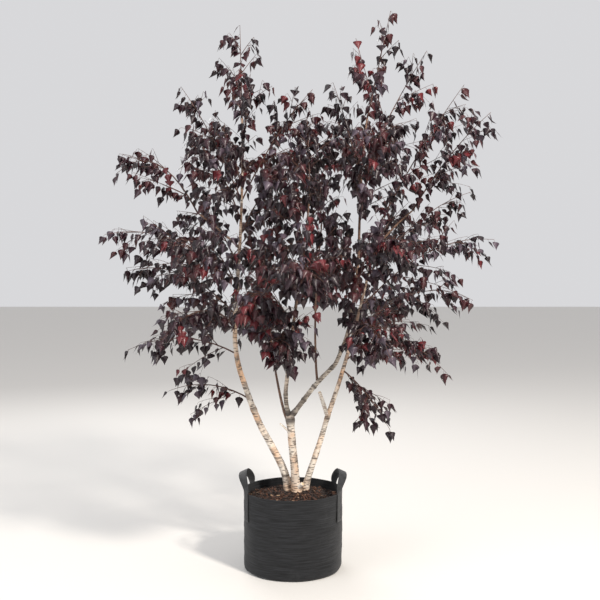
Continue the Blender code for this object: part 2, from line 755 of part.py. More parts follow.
class Space:
    """The share of the crown that belongs to one mass: what is nearest to its own main twig."""

    def __init__(self, mains):
        self.axes = [np.array([along(main, s)[0] for s in np.linspace(0, 1, SPACE_SAMPLES)]) for main in mains]

    def holds(self, mesh, index):
        points = samples_of(mesh)
        reach = [np.linalg.norm(points[:, None] - axis[None], axis=2).min(axis=1) for axis in self.axes]
        others = np.min([r for i, r in enumerate(reach) if i != index], axis=0)
        return bool((reach[index] + SPACE_MARGIN < others).all())


def make_mass(name, index, grown, mains, space, trees, scratch):
    """One mass of foliage, fused into one solid, and the pieces it was made of."""
    row = MASSES[name]
    dice = np.random.default_rng([SEED, index])
    main = mains[index]
    pieces = []

    def keep(mesh):
        tree = tree_of([mesh])
        if space.holds(mesh, index) and not any(tree.overlap(other) for other in trees):
            pieces.append(mesh)
            return True
        bpy.data.meshes.remove(mesh)
        return False

    rings = main[::2]
    radii = np.linspace(MAIN_TWIG_RADIUS, TWIG_POINT_RADIUS, len(rings))
    first = tube(name, rings, radii, 3)
    sides = side_paths(main, row[4], dice)
    kept = [(main, MAIN_TWIG_BARE)]
    for path in sides:
        rings = path[[0, TWIG_STEPS // 2, TWIG_STEPS]]
        radii = np.linspace(TWIG_RADIUS, TWIG_POINT_RADIUS, len(rings))
        if keep(tube(name + "_twig", rings, radii, 3)):
            kept.append((path, SIDE_TWIG_BARE))
    for path, bare in kept:
        for point, head in leaf_places(path, bare, dice):
            keep(leaf_mesh(name + "_leaf", point, head, dice))
    whole = [first.copy()] + [piece.copy() for piece in pieces]
    mesh = fused(name, first, pieces, [grown[row[0]]["cutter"]], scratch, "MANIFOLD")
    return mesh, whole


def make_foliage(grown, collection, scratch):
    """All masses in turn, each clear of the limbs and of the masses made before it."""
    limb_tree = tree_of([limb["clearance"] for limb in grown.values()])
    mains = [main_path(row, grown) for row in MASSES.values()]
    space = Space(mains)
    made = []
    for index, name in enumerate(MASSES):
        trees = [limb_tree] + ([tree_of(made)] if made else [])
        mesh, pieces = make_mass(name, index, grown, mains, space, trees, scratch)
        made += pieces
        place(bpy.data.objects.new(name, mesh), collection, "purple_leaves")
    for mesh in made:
        bpy.data.meshes.remove(mesh)


clear_scene()
birch = new_collection("purple_silver_birch")
cutter_collection = new_collection("cutters", hidden=True)
scratch_collection = new_collection("joining")
make_bag(birch)
make_compost(birch)
make_handle("handle_left", -1, birch)
make_handle("handle_right", 1, birch)
limbs = make_limbs(birch, cutter_collection, scratch_collection)
make_foliage(limbs, birch, scratch_collection)
bpy.data.collections.remove(scratch_collection)
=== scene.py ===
"""A purple silver birch with three stems in a black fabric root bag, dressed for a portrait."""

import math

import bpy
import numpy as np
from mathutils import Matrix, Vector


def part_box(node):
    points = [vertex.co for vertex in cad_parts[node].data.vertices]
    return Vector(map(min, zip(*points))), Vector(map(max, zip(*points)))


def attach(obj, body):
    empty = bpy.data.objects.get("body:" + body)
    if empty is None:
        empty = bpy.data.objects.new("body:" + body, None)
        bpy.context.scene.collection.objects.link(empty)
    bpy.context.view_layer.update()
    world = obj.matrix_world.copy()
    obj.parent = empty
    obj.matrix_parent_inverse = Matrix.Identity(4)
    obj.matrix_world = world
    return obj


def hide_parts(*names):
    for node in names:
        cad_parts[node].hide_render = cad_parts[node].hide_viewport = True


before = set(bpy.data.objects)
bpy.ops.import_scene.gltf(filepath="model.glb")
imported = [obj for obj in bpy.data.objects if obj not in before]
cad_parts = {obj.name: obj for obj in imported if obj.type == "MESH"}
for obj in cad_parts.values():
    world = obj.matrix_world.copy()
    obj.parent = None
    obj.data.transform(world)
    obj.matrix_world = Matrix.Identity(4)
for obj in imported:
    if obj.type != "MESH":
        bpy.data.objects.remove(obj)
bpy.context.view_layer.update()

# Camera: level, at eye height in front of the tree, with the lens of a portrait of the
# whole tree. It is raised a little in the frame by a shift, so that the stems stay upright.
CAMERA_PLACE = (0.036, -4.53, 1.50)
CAMERA_LENS = 54.06
CAMERA_SHIFT = -0.054

view = bpy.data.cameras.new("portrait_camera")
view.sensor_width = 36.0
view.lens = CAMERA_LENS
view.shift_y = CAMERA_SHIFT
camera = bpy.data.objects.new("portrait_camera", view)
camera.location = CAMERA_PLACE
camera.rotation_euler = (math.pi / 2, 0.0, 0.0)
bpy.context.scene.collection.objects.link(camera)
bpy.context.scene.camera = camera

# Root bag: a cylinder sewn from woven black fabric. The wall ripples a little where the
# compost pushes it, creases run round it, and the rim is a plain raw edge.
BAG_RIM_RADIUS, _, BAG_HEIGHT = np.array(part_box("bag")[1])
BAG_FOOT_RADIUS = BAG_RIM_RADIUS - 0.005
BAG_CORNER = 0.016
BAG_FABRIC = 0.004
BAG_AROUND = 180
BAG_WALL_ROWS = 64
BAG_INNER_ROWS = 20
BAG_INNER_FLOOR = 0.27
POLE_RADIUS = 0.0005


class Node:
    """A shader socket that takes part in arithmetic: each operation adds one Math node."""

    def __init__(self, tree, socket=None):
        """Keeps the socket and its tree."""
        self.tree = tree
        self.socket = socket

    def node(self, kind, settings, *values, output=0):
        """Adds a node, gives it its settings, then its inputs in order; None leaves one as it is."""
        node = self.tree.nodes.new(kind)
        for name, value in settings.items():
            setattr(node, name, value)
        for index, value in enumerate(values):
            if isinstance(value, Node):
                self.tree.links.new(value.socket, node.inputs[index])
            elif value is not None:
                node.inputs[index].default_value = value
        return Node(self.tree, node.outputs[output])

    def math(self, operation, *values):
        """The named operation on the values, as a Math node."""
        return self.node("ShaderNodeMath", {"operation": operation}, *values)

    def __add__(self, other):
        """The sum, in either order."""
        return self.math("ADD", self, other)

    def __sub__(self, other):
        """This less the other."""
        return self.math("SUBTRACT", self, other)

    def __rsub__(self, other):
        """The other less this."""
        return self.math("SUBTRACT", other, self)

    def __mul__(self, other):
        """The product, in either order."""
        return self.math("MULTIPLY", self, other)

    def __abs__(self):
        """This without its sign."""
        return self.math("ABSOLUTE", self)

    __radd__ = __add__
    __rmul__ = __mul__

    def between(self, low, high):
        """0 at low, 1 at high, smooth in between."""
        settings = {"interpolation_type": "SMOOTHSTEP"}
        return self.node("ShaderNodeMapRange", settings, self, low, high, 0.0, 1.0)


def mixed(factor, first, second):
    """A colour between two. Inputs 6 and 7 of the node are its colours, output 2 the result."""
    ends = [(*end, 1.0) if isinstance(end, tuple) else end for end in (first, second)]
    settings = {"data_type": "RGBA"}
    return factor.node("ShaderNodeMix", settings, factor, *[None] * 5, *ends, output=2)


def stretched(place, scales):
    """The coordinates multiplied by a factor for each axis."""
    return place.node("ShaderNodeVectorMath", {"operation": "MULTIPLY"}, place, scales)


def noise(place, scale, detail=3.0, rough=0.55):
    """Cloudy noise between about 0 and 1, at a scale per metre or at one for each axis."""
    if isinstance(scale, tuple):
        place, scale = stretched(place, scale), 1.0
    return place.node("ShaderNodeTexNoise", {}, place, None, scale, detail, rough)


def new_material(name):
    """An empty finish, with its shader and its object coordinates (output 3)."""
    material = bpy.data.materials.new(name)
    material.use_nodes = True
    tree = material.node_tree
    place = Node(tree).node("ShaderNodeTexCoord", {}, output=3)
    return material, tree.nodes["Principled BSDF"], place


def carried_map(place, name="surface"):
    """A map that a piece carries. The one named surface holds how far round and how far along
    it a point is, in metres, or on a leaf in shares of its length."""
    return place.node("ShaderNodeUVMap", {"uv_map": name})


def coat(shader, colour, rough, relief=None, strength=0.0, depth=0.0):
    """Gives the shader its colour and roughness, as links or plain values, and a bump, whose
    inputs 0, 1 and 3 are its strength, depth and height."""
    fed = {"Base Color": colour, "Roughness": rough}
    if relief is not None:
        fed["Normal"] = relief.node("ShaderNodeBump", {}, strength, depth, None, relief)
    for name, value in fed.items():
        if isinstance(value, Node):
            value.tree.links.new(value.socket, shader.inputs[name])
        else:
            shader.inputs[name].default_value = (*value, 1.0) if name == "Base Color" else value


def facing_out(points, faces):
    """The faces, turned round if the sum of the tetrahedra from the origin to them is negative."""
    a, b, c = points[faces[:, 0]], points[faces[:, 1]], points[faces[:, 2]]
    volume = np.einsum("ij,ij->", a, np.cross(b, c))
    if faces.shape[1] == 4:
        d = points[faces[:, 3]]
        volume += np.einsum("ij,ij->", a, np.cross(c, d))
    return faces if volume > 0 else faces[:, ::-1]


def new_piece(name, points, faces, material, slot, replaced=(), smooth=True, **maps):
    """A mesh object at the origin from arrays: points, triangles or quads, and its maps."""
    mesh = bpy.data.meshes.new(name)
    points = points.reshape(-1, 3)
    faces = facing_out(points, faces)
    count, sides = faces.shape
    mesh.vertices.add(len(points))
    mesh.vertices.foreach_set("co", np.ascontiguousarray(points, np.float32).ravel())
    mesh.loops.add(count * sides)
    mesh.loops.foreach_set("vertex_index", np.ascontiguousarray(faces, np.int32).ravel())
    mesh.polygons.add(count)
    mesh.polygons.foreach_set("loop_start", np.arange(0, count * sides, sides, dtype=np.int32))
    mesh.polygons.foreach_set("use_smooth", np.full(count, smooth))
    mesh.update(calc_edges=True)
    for map_name, places in maps.items():
        layer = mesh.uv_layers.new(name=map_name)
        corners = places.reshape(-1, 2)[faces.ravel()]
        layer.data.foreach_set("uv", np.ascontiguousarray(corners, np.float32).ravel())
    mesh.validate()
    piece = bpy.data.objects.new(name, mesh)
    bpy.context.scene.collection.objects.link(piece)
    mesh.materials.append(material)
    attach(piece, "root")
    if replaced:
        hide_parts(*replaced)


def polar(radius, angle, height):
    """Points at a radius and an angle round the upright axis, and at a height."""
    return np.stack(np.broadcast_arrays(radius * np.cos(angle), radius * np.sin(angle), height), -1)


def grid_faces(rows, columns):
    """Quads between closed rings: each point, the next one round, and both on the next ring."""
    across = np.arange(columns)
    beside = (across + 1) % columns
    row = np.arange(rows - 1)[:, None] * columns
    quads = np.stack([row + across, row + beside, row + columns + beside, row + columns + across], -1)
    return quads.reshape(-1, 4)


def lathe(profile, around, ripple):
    """Points of a turned surface: radius and height down a profile, the radius moved by a
    ripple that is a function of angle, height and radius."""
    angle = np.linspace(0, 2 * math.pi, around, endpoint=False)[None, :]
    radius, height = profile[:, :1], profile[:, 1:]
    moved = radius + ripple(angle, height, radius)
    points = polar(moved, angle, height)
    return points, np.stack(np.broadcast_arrays(angle * BAG_RIM_RADIUS, height), -1)


def bag_ripple(angle, height, radius):
    """How far the wall moves out: creases are waves up it bent by waves round it, bulges are
    waves round it times waves up it, and slack is waves round its rim. The floor has none."""
    wall = np.clip((radius - 0.20) / 0.04, 0, 1)
    creases = 0.0006 * np.sin(70 * height + 1.3 * np.sin(3 * angle) + 0.8 * np.sin(7 * angle + 1))
    creases += 0.0003 * np.sin(160 * height + 2.2 * np.sin(5 * angle + 2) + 1.1)
    bulge = 0.0022 * np.sin(3 * angle + 0.7) * np.sin(8 * height)
    bulge = bulge + 0.0012 * np.sin(8 * angle + 12 * height)
    slack = 0.0020 * np.sin(11 * angle + 0.4) * np.clip((height - 0.33) / 0.06, 0, 1)
    return wall * (creases + bulge + slack - 0.0015)


turn = np.radians(np.linspace(-90, 0, 7))
corner_arc = np.stack([BAG_FOOT_RADIUS - BAG_CORNER + BAG_CORNER * np.cos(turn),
                       BAG_CORNER + BAG_CORNER * np.sin(turn)], 1)
wall_height = np.linspace(BAG_CORNER + 0.006, BAG_HEIGHT - 0.004, BAG_WALL_ROWS)
wall_radius = BAG_FOOT_RADIUS + (BAG_RIM_RADIUS - BAG_FOOT_RADIUS) * wall_height / BAG_HEIGHT
rim_turn = np.radians(np.linspace(0, 180, 6))
rim_arc = np.stack([BAG_RIM_RADIUS - BAG_FABRIC / 2 + BAG_FABRIC / 2 * np.cos(rim_turn),
                    BAG_HEIGHT - BAG_FABRIC / 2 + BAG_FABRIC / 2 * np.sin(rim_turn)], 1)
inner_height = np.linspace(BAG_HEIGHT - 0.006, BAG_INNER_FLOOR + 0.01, BAG_INNER_ROWS)
bag_profile = np.vstack([
    [[POLE_RADIUS, 0.0], [0.08, 0.0], [0.16, 0.0], [0.21, 0.0]], corner_arc,
    np.stack([wall_radius, wall_height], 1), rim_arc,
    np.stack([np.full(BAG_INNER_ROWS, BAG_RIM_RADIUS - BAG_FABRIC), inner_height], 1),
    [[0.16, BAG_INNER_FLOOR], [POLE_RADIUS, BAG_INNER_FLOOR]],
])
bag_points, bag_places = lathe(bag_profile, BAG_AROUND, bag_ripple)

bag_cloth, shader, place = new_material("black_bag_cloth")
weave_place = carried_map(place)
threads_round = noise(place, (9, 9, 260), 4.0, 0.6)
threads_up = noise(weave_place, (420, 14, 1), 2.0, 0.5)
cross = place.node("ShaderNodeTexWave", {"bands_direction": "Y"}, weave_place, 150.0, 1.5, 2.0, 2.0)
scuffs = noise(place, 14.0, 5.0, 0.65)
cloth = mixed(threads_round.between(0.35, 0.72), (0.0050, 0.0054, 0.0062), (0.020, 0.021, 0.024))
cloth = mixed(scuffs.between(0.55, 0.8) * 0.35, cloth, (0.034, 0.034, 0.036))
relief = threads_round * 0.6 + threads_up * 0.25 + cross * 0.15
coat(shader, cloth, 0.95 - 0.14 * threads_round, relief, 0.55, 0.0012)
shader.inputs["Sheen Weight"].default_value = 0.12
shader.inputs["Specular IOR Level"].default_value = 0.3
new_piece("fabric_bag", bag_points, grid_faces(len(bag_profile), BAG_AROUND), bag_cloth,
          "bag_fabric", ("bag",), surface=bag_places)

# Strap handles: a length of black webbing on each side, folded over into a loop above the
# rim, with both ends sewn flat to the outside of the bag by two lines of stitches each.
STRAP_WIDTH = 0.045
STRAP_THICKNESS = 0.003
STRAP_SEWN_LENGTH = 0.137
STRAP_HALF_SPAN = math.radians(29)
STRAP_MIDDLE = math.radians(4)
STRAP_ARCH_HEIGHT = 0.084
STRAP_TOP_RADIUS = 0.250
STRAP_BULGE = 0.003
STRAP_TOP_TILT = math.radians(25)
STRAP_SEWN_SHARE = 2 / 18
STRAP_GAP = 0.0008
STRAP_STEPS = 121
STRAP_AROUND = 12
STITCHES = 33
STITCH_EDGE = 0.42
STITCH_LIFT = 0.52
STITCH_RADIUS = 0.0007
STITCH_SHARES = np.array([[0.0], [0.35], [0.7]])
STITCHED_STEPS = (slice(1, 13), slice(108, 120))


def unit(vectors):
    """The vectors at unit length."""
    return vectors / np.maximum(np.linalg.norm(vectors, axis=-1, keepdims=True), 1e-9)


def strap_line(share):
    """Centres and width directions of the strap at shares of its length. Both ends lie flat on
    the wall, straight up. Between them the height rises as half a sine wave while the place
    round the bag moves as a cosine, and the width turns half a circle and tilts at the top."""
    sewn = (share < STRAP_SEWN_SHARE) | (share > 1 - STRAP_SEWN_SHARE)
    side = np.where(share < 0.5, -1.0, 1.0)
    fall = 1 - np.minimum(share, 1 - share) / STRAP_SEWN_SHARE
    arch = np.clip((share - STRAP_SEWN_SHARE) / (1 - 2 * STRAP_SEWN_SHARE), 0, 1)
    rise = np.where(sewn, 0, np.sin(math.pi * arch))
    around = STRAP_MIDDLE - STRAP_HALF_SPAN * np.cos(math.pi * arch)
    sewn_height = BAG_HEIGHT - STRAP_SEWN_LENGTH * fall
    height = np.where(sewn, sewn_height, BAG_HEIGHT + STRAP_ARCH_HEIGHT * rise)
    level = np.minimum(height, BAG_HEIGHT)
    wall = BAG_FOOT_RADIUS + (BAG_RIM_RADIUS - BAG_FOOT_RADIUS) * level / BAG_HEIGHT
    radius = wall + STRAP_GAP + STRAP_THICKNESS / 2
    radius = radius + (STRAP_TOP_RADIUS - radius) * rise**2 + STRAP_BULGE * 4 * rise**2 * (1 - rise**2)
    turned = np.where(sewn, side * math.pi / 2, math.pi * (arch - 0.5))
    tilt = STRAP_TOP_TILT * rise**2
    outward = polar(1.0, around, 0.0)
    along_wall = np.stack([-outward[:, 1], outward[:, 0], 0 * around], -1)
    centre = outward * radius[:, None]
    centre[:, 2] = height
    wide = outward * (np.cos(turned) * np.cos(tilt))[:, None] - along_wall * np.sin(turned)[:, None]
    wide[:, 2] = -np.sin(tilt) * np.cos(turned)
    return centre, unit(wide)


def lengths_along(paths):
    """The distance along each path at each of its points: the sum of the steps before it."""
    steps = np.linalg.norm(np.diff(paths, axis=-2), axis=-1)
    return np.concatenate([0 * steps[..., :1], np.cumsum(steps, -1)], -1)


def end_caps(rows, around):
    """Quads that close both ends of a tube: strips across its first ring, turned over, and the
    same strips across its last."""
    strip = [(i, i + 1, around - 2 - i, around - 1 - i) for i in range(around // 2 - 1)]
    last = (rows - 1) * around
    return [quad[::-1] for quad in strip] + [tuple(last + i for i in quad) for quad in strip]


def ribbon(centre, wide, out):
    """A closed band: an oval carried along the line and capped at both ends. Its width and
    thickness are low powers of a cosine and a sine, which makes its ends blunt."""
    oval = np.radians(np.arange(0, 360, 360 // STRAP_AROUND))
    broad = np.sign(np.cos(oval)) * np.abs(np.cos(oval)) ** 0.35 * STRAP_WIDTH / 2
    thick = np.sign(np.sin(oval)) * np.abs(np.sin(oval)) ** 0.5 * STRAP_THICKNESS / 2
    points = centre[:, None] + wide[:, None] * broad[None, :, None]
    points = points + out[:, None] * thick[None, :, None]
    places = np.stack(np.broadcast_arrays(broad, lengths_along(centre)[:, None]), -1)
    faces = np.vstack([grid_faces(len(centre), STRAP_AROUND), end_caps(len(centre), STRAP_AROUND)])
    return points, faces, places


webbing, shader, place = new_material("black_webbing")
web_place = carried_map(place)
ribs = place.node("ShaderNodeTexWave", {"bands_direction": "Y"}, web_place, 110.0, 0.6, 2.0, 2.0)
cords = place.node("ShaderNodeTexWave", {"bands_direction": "X"}, web_place, 90.0, 0.4, 2.0, 2.0)
fuzz = noise(place, 60.0, 4.0, 0.6)
black = mixed(fuzz.between(0.35, 0.75), (0.007, 0.008, 0.009), (0.026, 0.027, 0.030))
coat(shader, black, 0.88 - 0.2 * ribs, ribs * 0.5 + cords * 0.5, 0.5, 0.0008)
shader.inputs["Sheen Weight"].default_value = 0.12
centre, wide = strap_line(np.linspace(0, 1, STRAP_STEPS))
out = unit(np.cross(unit(np.gradient(centre, axis=0)), wide))
points, faces, places = ribbon(centre, wide, out)
out *= np.sign((out * centre * [1, 1, 0]).sum(1))[:, None]
stitch_lines = []
for side_name, mirror in (("right", [1, 1, 1]), ("left", [-1, 1, 1])):
    new_piece("strap_" + side_name, points * mirror, faces, webbing, "webbing",
              ("handle_" + side_name,), surface=places)
    for sewn_end in STITCHED_STEPS:
        for edge in (-STITCH_EDGE, STITCH_EDGE):
            line = centre[sewn_end] + wide[sewn_end] * edge * STRAP_WIDTH
            line = line + out[sewn_end] * STRAP_THICKNESS * STITCH_LIFT
            stitch_lines.append(line * mirror)


def tubes(paths, radii, sides):
    """Round tubes along many paths at once. Paths are (tubes, rings, 3), radii (tubes, rings).
    Each ring is a circle square to the path, and fans of triangles close both ends."""
    many, rings, _ = paths.shape
    head = unit(np.gradient(paths, axis=1))
    upright = np.where(np.abs(head[:, :1, 2:]) > 0.9, [[[1.0, 0, 0]]], [[[0, 0, 1.0]]])
    first = unit(np.cross(head, upright))
    second = np.cross(head, first)
    angle = np.linspace(0, 2 * math.pi, sides, endpoint=False)
    spokes = first[:, :, None] * np.cos(angle)[:, None] + second[:, :, None] * np.sin(angle)[:, None]
    points = paths[:, :, None] + spokes * radii[:, :, None, None]
    around = angle[None, None] * radii[:, :, None]
    places = np.stack([around, lengths_along(paths)[:, :, None] + 0 * around], -1)
    quads = grid_faces(rings, sides)
    fan = np.arange(1, sides - 1)
    start = np.stack([0 * fan, fan + 1, fan], 1)
    end = np.stack([0 * fan, fan, fan + 1], 1) + (rings - 1) * sides
    one = np.vstack([quads[:, [0, 1, 2]], quads[:, [0, 2, 3]], start, end])
    step = rings * sides * np.arange(many)[:, None, None]
    faces = (one[None] + step).reshape(-1, 3)
    return points, faces, places


thread, shader, place = new_material("dark_thread")
coat(shader, mixed(noise(place, 400.0), (0.03, 0.03, 0.032), (0.09, 0.09, 0.095)), 0.7)
dashes = []
for line in stitch_lines:
    share = np.linspace(0, len(line) - 1.001, STITCHES + 1)
    low = np.floor(share).astype(int)
    ends = line[low] + (line[low + 1] - line[low]) * (share - low)[:, None]
    dashes += [ends[i] + (ends[i + 1] - ends[i]) * STITCH_SHARES for i in range(STITCHES)]
dashes = np.array(dashes)
points, faces, places = tubes(dashes, np.full(dashes.shape[:2], STITCH_RADIUS), 5)
new_piece("strap_stitches", points, faces, thread, "webbing", surface=places)

# Compost: dark peat with shredded bark, heaped a little round the stems. The chips lie loose
# on it, most of them dark, some red-brown and a few pale.
COMPOST_TOP_HEIGHT = 0.369
COMPOST_TOP_RADIUS = 0.100
COMPOST_EDGE_HEIGHT = 0.343
COMPOST_EDGE_RADIUS = 0.245
COMPOST_REACH = 0.2445
COMPOST_UNDERSIDE = 0.30
COMPOST_AROUND = 150
LUMP_HEIGHT = 0.0022
CHIP_REACH = 0.236
CHIP_LENGTH = 0.0095
CHIP_WIDTH = 0.0042
CHIP_DEPTH = 0.0014
CHIPS = {
    "dark": (1700, (0.020, 0.011, 0.008)),
    "red": (800, (0.085, 0.034, 0.018)),
    "pale": (110, (0.33, 0.21, 0.13)),
}
dice = np.random.default_rng(5)


def heap_height(radius, angle):
    """Height of the compost: level in the middle, then a straight fall to the wall, plus lumps
    that are products of waves across and along."""
    fall_width = COMPOST_EDGE_RADIUS - COMPOST_TOP_RADIUS
    slope = np.clip((radius - COMPOST_TOP_RADIUS) / fall_width, 0, 1)
    x, y = radius * np.cos(angle), radius * np.sin(angle)
    lumps = np.sin(61 * x + 2 * np.sin(47 * y)) * np.sin(53 * y + 1.5 * np.sin(71 * x))
    lumps += 0.6 * np.sin(133 * x + 90 * y) * np.sin(111 * y - 80 * x + 1)
    height = COMPOST_TOP_HEIGHT + (COMPOST_EDGE_HEIGHT - COMPOST_TOP_HEIGHT) * slope
    return height + LUMP_HEIGHT * lumps


radius = np.concatenate([[POLE_RADIUS], np.linspace(0.006, COMPOST_REACH, 56)])[:, None]
angle = np.linspace(0, 2 * math.pi, COMPOST_AROUND, endpoint=False)[None, :]
top = polar(radius, angle, heap_height(radius, angle))
skirt = polar(COMPOST_REACH, angle, COMPOST_UNDERSIDE)
under = polar(POLE_RADIUS, angle, COMPOST_UNDERSIDE)
points = np.concatenate([top, skirt, under])
soil, shader, place = new_material("peat_compost")
crumbs = noise(place, 150.0, 6.0, 0.7)
damp = noise(place, 22.0, 3.0, 0.5)
ground = mixed(crumbs.between(0.3, 0.75), (0.006, 0.0035, 0.0028), (0.050, 0.024, 0.015))
ground = mixed(damp.between(0.4, 0.7) * 0.5, ground, (0.016, 0.009, 0.007))
coat(shader, ground, 0.95, crumbs, 0.9, 0.003)
faces = grid_faces(len(radius) + 2, COMPOST_AROUND)
new_piece("compost_heap", points, faces, soil, "compost", ("compost",))

corners = np.array([(x, y, z) for x in (-1, 1) for y in (-1, 1) for z in (-1, 1)], float)
box = np.array([(0, 1, 3, 2), (4, 6, 7, 5), (0, 4, 5, 1), (2, 3, 7, 6), (0, 2, 6, 4), (1, 5, 7, 3)])
for chip_name, (count, shade) in CHIPS.items():
    reach = CHIP_REACH * np.sqrt(dice.uniform(0, 1, count))
    turn = dice.uniform(0, 2 * math.pi, count)
    lift = heap_height(reach, turn) + dice.uniform(-0.001, 0.0035, count)
    centre = polar(reach, turn, lift)
    spin, tip = dice.uniform(0, 2 * math.pi, count), dice.normal(0, 0.35, count)
    long_way = polar(np.cos(tip), spin, np.sin(tip))
    flat_way = unit(np.cross(long_way, [0, 0, 1.0]) + dice.normal(0, 0.25, (count, 3)))
    up_way = np.cross(long_way, flat_way)
    size = dice.uniform(0.5, 1.3, (count, 1))
    length = CHIP_LENGTH * size * dice.uniform(0.6, 1.6, (count, 1))
    ends = corners[None] * dice.uniform(0.55, 1.0, (count, 8, 1))
    points = centre[:, None] + ends[..., :1] * (long_way * length)[:, None]
    points = points + ends[..., 1:2] * (flat_way * (CHIP_WIDTH * size))[:, None]
    points = points + ends[..., 2:] * (up_way * (CHIP_DEPTH * size))[:, None]
    faces = (box[None] + 8 * np.arange(count)[:, None, None]).reshape(-1, 4)
    chip, shader, place = new_material("bark_chip_" + chip_name)
    grain = noise(place, 260.0, 4.0, 0.6)
    shade = mixed(grain, tuple(0.5 * c for c in shade), tuple(1.5 * c for c in shade))
    coat(shader, shade, 0.9, grain, 0.5, 0.001)
    new_piece("bark_chips_" + chip_name, points, faces, chip, "compost", smooth=False)

# Stems and boughs: three stems of white peeling bark that lean apart, the middle one forked
# low down, with copper-brown young boughs above.
PATH_STEP = 0.005
TAPER_POWER = 1.4
ROOT_FLARE = 0.30
ROOT_FLARE_HEIGHT = 0.035
STEM_FOOT_HEIGHT = 0.3693
FOOT_DEPTH = 0.022
LIMB_TIP = 9.0
TIP_LOWERING = 0.8
BARK_AROUND = 28
BARK_MAP_RADIUS = 0.016
BARK_ROUGHNESS = 0.006
BARK_TIP_SHRINK = 0.55
FOOT_SPREAD = 1.15
# A stem's row is its foot, a bough's its parent and the height on it. Then come the radii at
# both ends, and the leans in degrees at a distance along the limb: right, then back.
STEMS = {
    "stem_left": ((-0.0235, 0.052), (0.0200, 0.0048), (
        (0.00, -8, 2), (0.06, -13, 2), (0.12, -24, 2), (0.20, -29, 2), (0.32, -29, 1),
        (0.38, -24, 1), (0.50, -20, 1), (0.62, -19, 1), (0.74, -9, 1), (0.86, 1.5, 1),
        (1.10, 4, 1), (1.40, 2.5, 0), (1.95, -1, -1),
    )),
    "stem_middle": ((0.020, 0.013), (0.0210, 0.0190), (
        (0.00, -8, -1), (0.06, -4.5, -1), (0.20, -5.5, -1), (0.392, -4, -2),
    )),
    "stem_right": ((0.0610, 0.052), (0.0168, 0.0048), (
        (0.00, 13, 5), (0.05, 16, 6), (0.13, 20, 7), (0.25, 18, 7), (0.35, 17, 7),
        (0.45, 20, 7), (0.62, 17.5, 7), (0.80, 16, 7), (1.20, 13, 6), (1.45, 16, 4),
    )),
}
BOUGHS = {
    "bough_right": ("stem_middle", LIMB_TIP, (0.0130, 0.0044), (
        (0.00, 38, 0), (0.16, 37, -1), (0.23, 42, -2), (0.30, 46, -3), (0.34, 43, -4),
        (0.37, 24, -4), (0.45, 22, -4), (0.56, 11, -4), (0.77, 7, -3), (0.98, 1, -2),
        (1.15, 2, -1), (1.60, 7, 0),
    )),
    "bough_centre": ("stem_middle", LIMB_TIP, (0.0118, 0.0040), (
        (0.00, -22, -3), (0.08, -6, -6), (0.16, 6, -12), (0.30, 6, -18), (0.60, 9, -15),
        (1.15, 5, -2),
    )),
    "bough_upright": ("bough_right", 0.922, (0.0062, 0.0036), (
        (0.00, -7, 14), (0.10, -2, 18), (0.20, -1, 22), (0.50, 4, 18), (0.85, 6, 8),
    )),
    "bough_back": ("stem_middle", 0.700, (0.0078, 0.0036), (
        (0.00, -34, 26), (0.10, -16, 28), (0.25, -12, 30), (0.45, -8, 24), (0.70, -4, 10),
    )),
    "bough_left_arch": ("stem_left", 1.60, (0.0068, 0.0040), (
        (0.00, -46, -2), (0.28, -54, 0),
    )),
    "bough_right_outer": ("stem_right", 1.58, (0.0068, 0.0040), (
        (0.00, 34, -10), (0.16, 44, -14), (0.30, 50, -18),
    )),
    "bough_front": ("bough_centre", 1.30, (0.0062, 0.0038), (
        (0.00, 8, -52), (0.26, 6, -66),
    )),
}


def leaning_path(start, leans):
    """Points along a limb: the sum of short steps, each of which leans right and back by the
    angles read off between the given ones at its distance."""
    distance, right, back = np.array(leans, float).T
    count = round(distance[-1] / PATH_STEP)
    middles = (np.arange(count) + 0.5) * distance[-1] / count
    slopes = [np.tan(np.radians(np.interp(middles, distance, lean))) for lean in (right, back)]
    steps = np.stack([*slopes, np.ones(count)], axis=1)
    steps *= distance[-1] / count / np.linalg.norm(steps, axis=1)[:, None]
    return np.vstack([start, start + np.cumsum(steps, axis=0)])


def point_at(path, height):
    """The point where a path reaches a height, or its tip if it doesn't."""
    if path[-1, 2] <= height:
        return path[-1]
    above = int(np.argmax(path[:, 2] > height))
    low, high = path[above - 1], path[above]
    return low + (high - low) * (height - low[2]) / (high[2] - low[2])


def limb_radii(path, ends, flare):
    """Radius at each point: the tip's, plus what is left to the tip to a power times the rest.
    The flare widens the foot, by a share that dies away with height."""
    share = np.linspace(0, 1, len(path))
    foot, tip = ends
    radii = tip + (foot - tip) * (1 - share) ** TAPER_POWER
    return radii * (1 + flare * np.exp(-(path[:, 2] - path[0, 2]) / ROOT_FLARE_HEIGHT))


grown = {}
for name, (foot, ends, leans) in STEMS.items():
    path = leaning_path(np.array([*foot, STEM_FOOT_HEIGHT]), leans)
    grown[name] = (path, limb_radii(path, ends, ROOT_FLARE))
for name, (parent, height, ends, leans) in BOUGHS.items():
    start = point_at(grown[parent][0], height)
    if height == LIMB_TIP:
        start = start - np.array([0, 0, grown[parent][1][-1] * TIP_LOWERING])
    path = leaning_path(start, leans)
    grown[name] = (path, limb_radii(path, ends, 0.0))


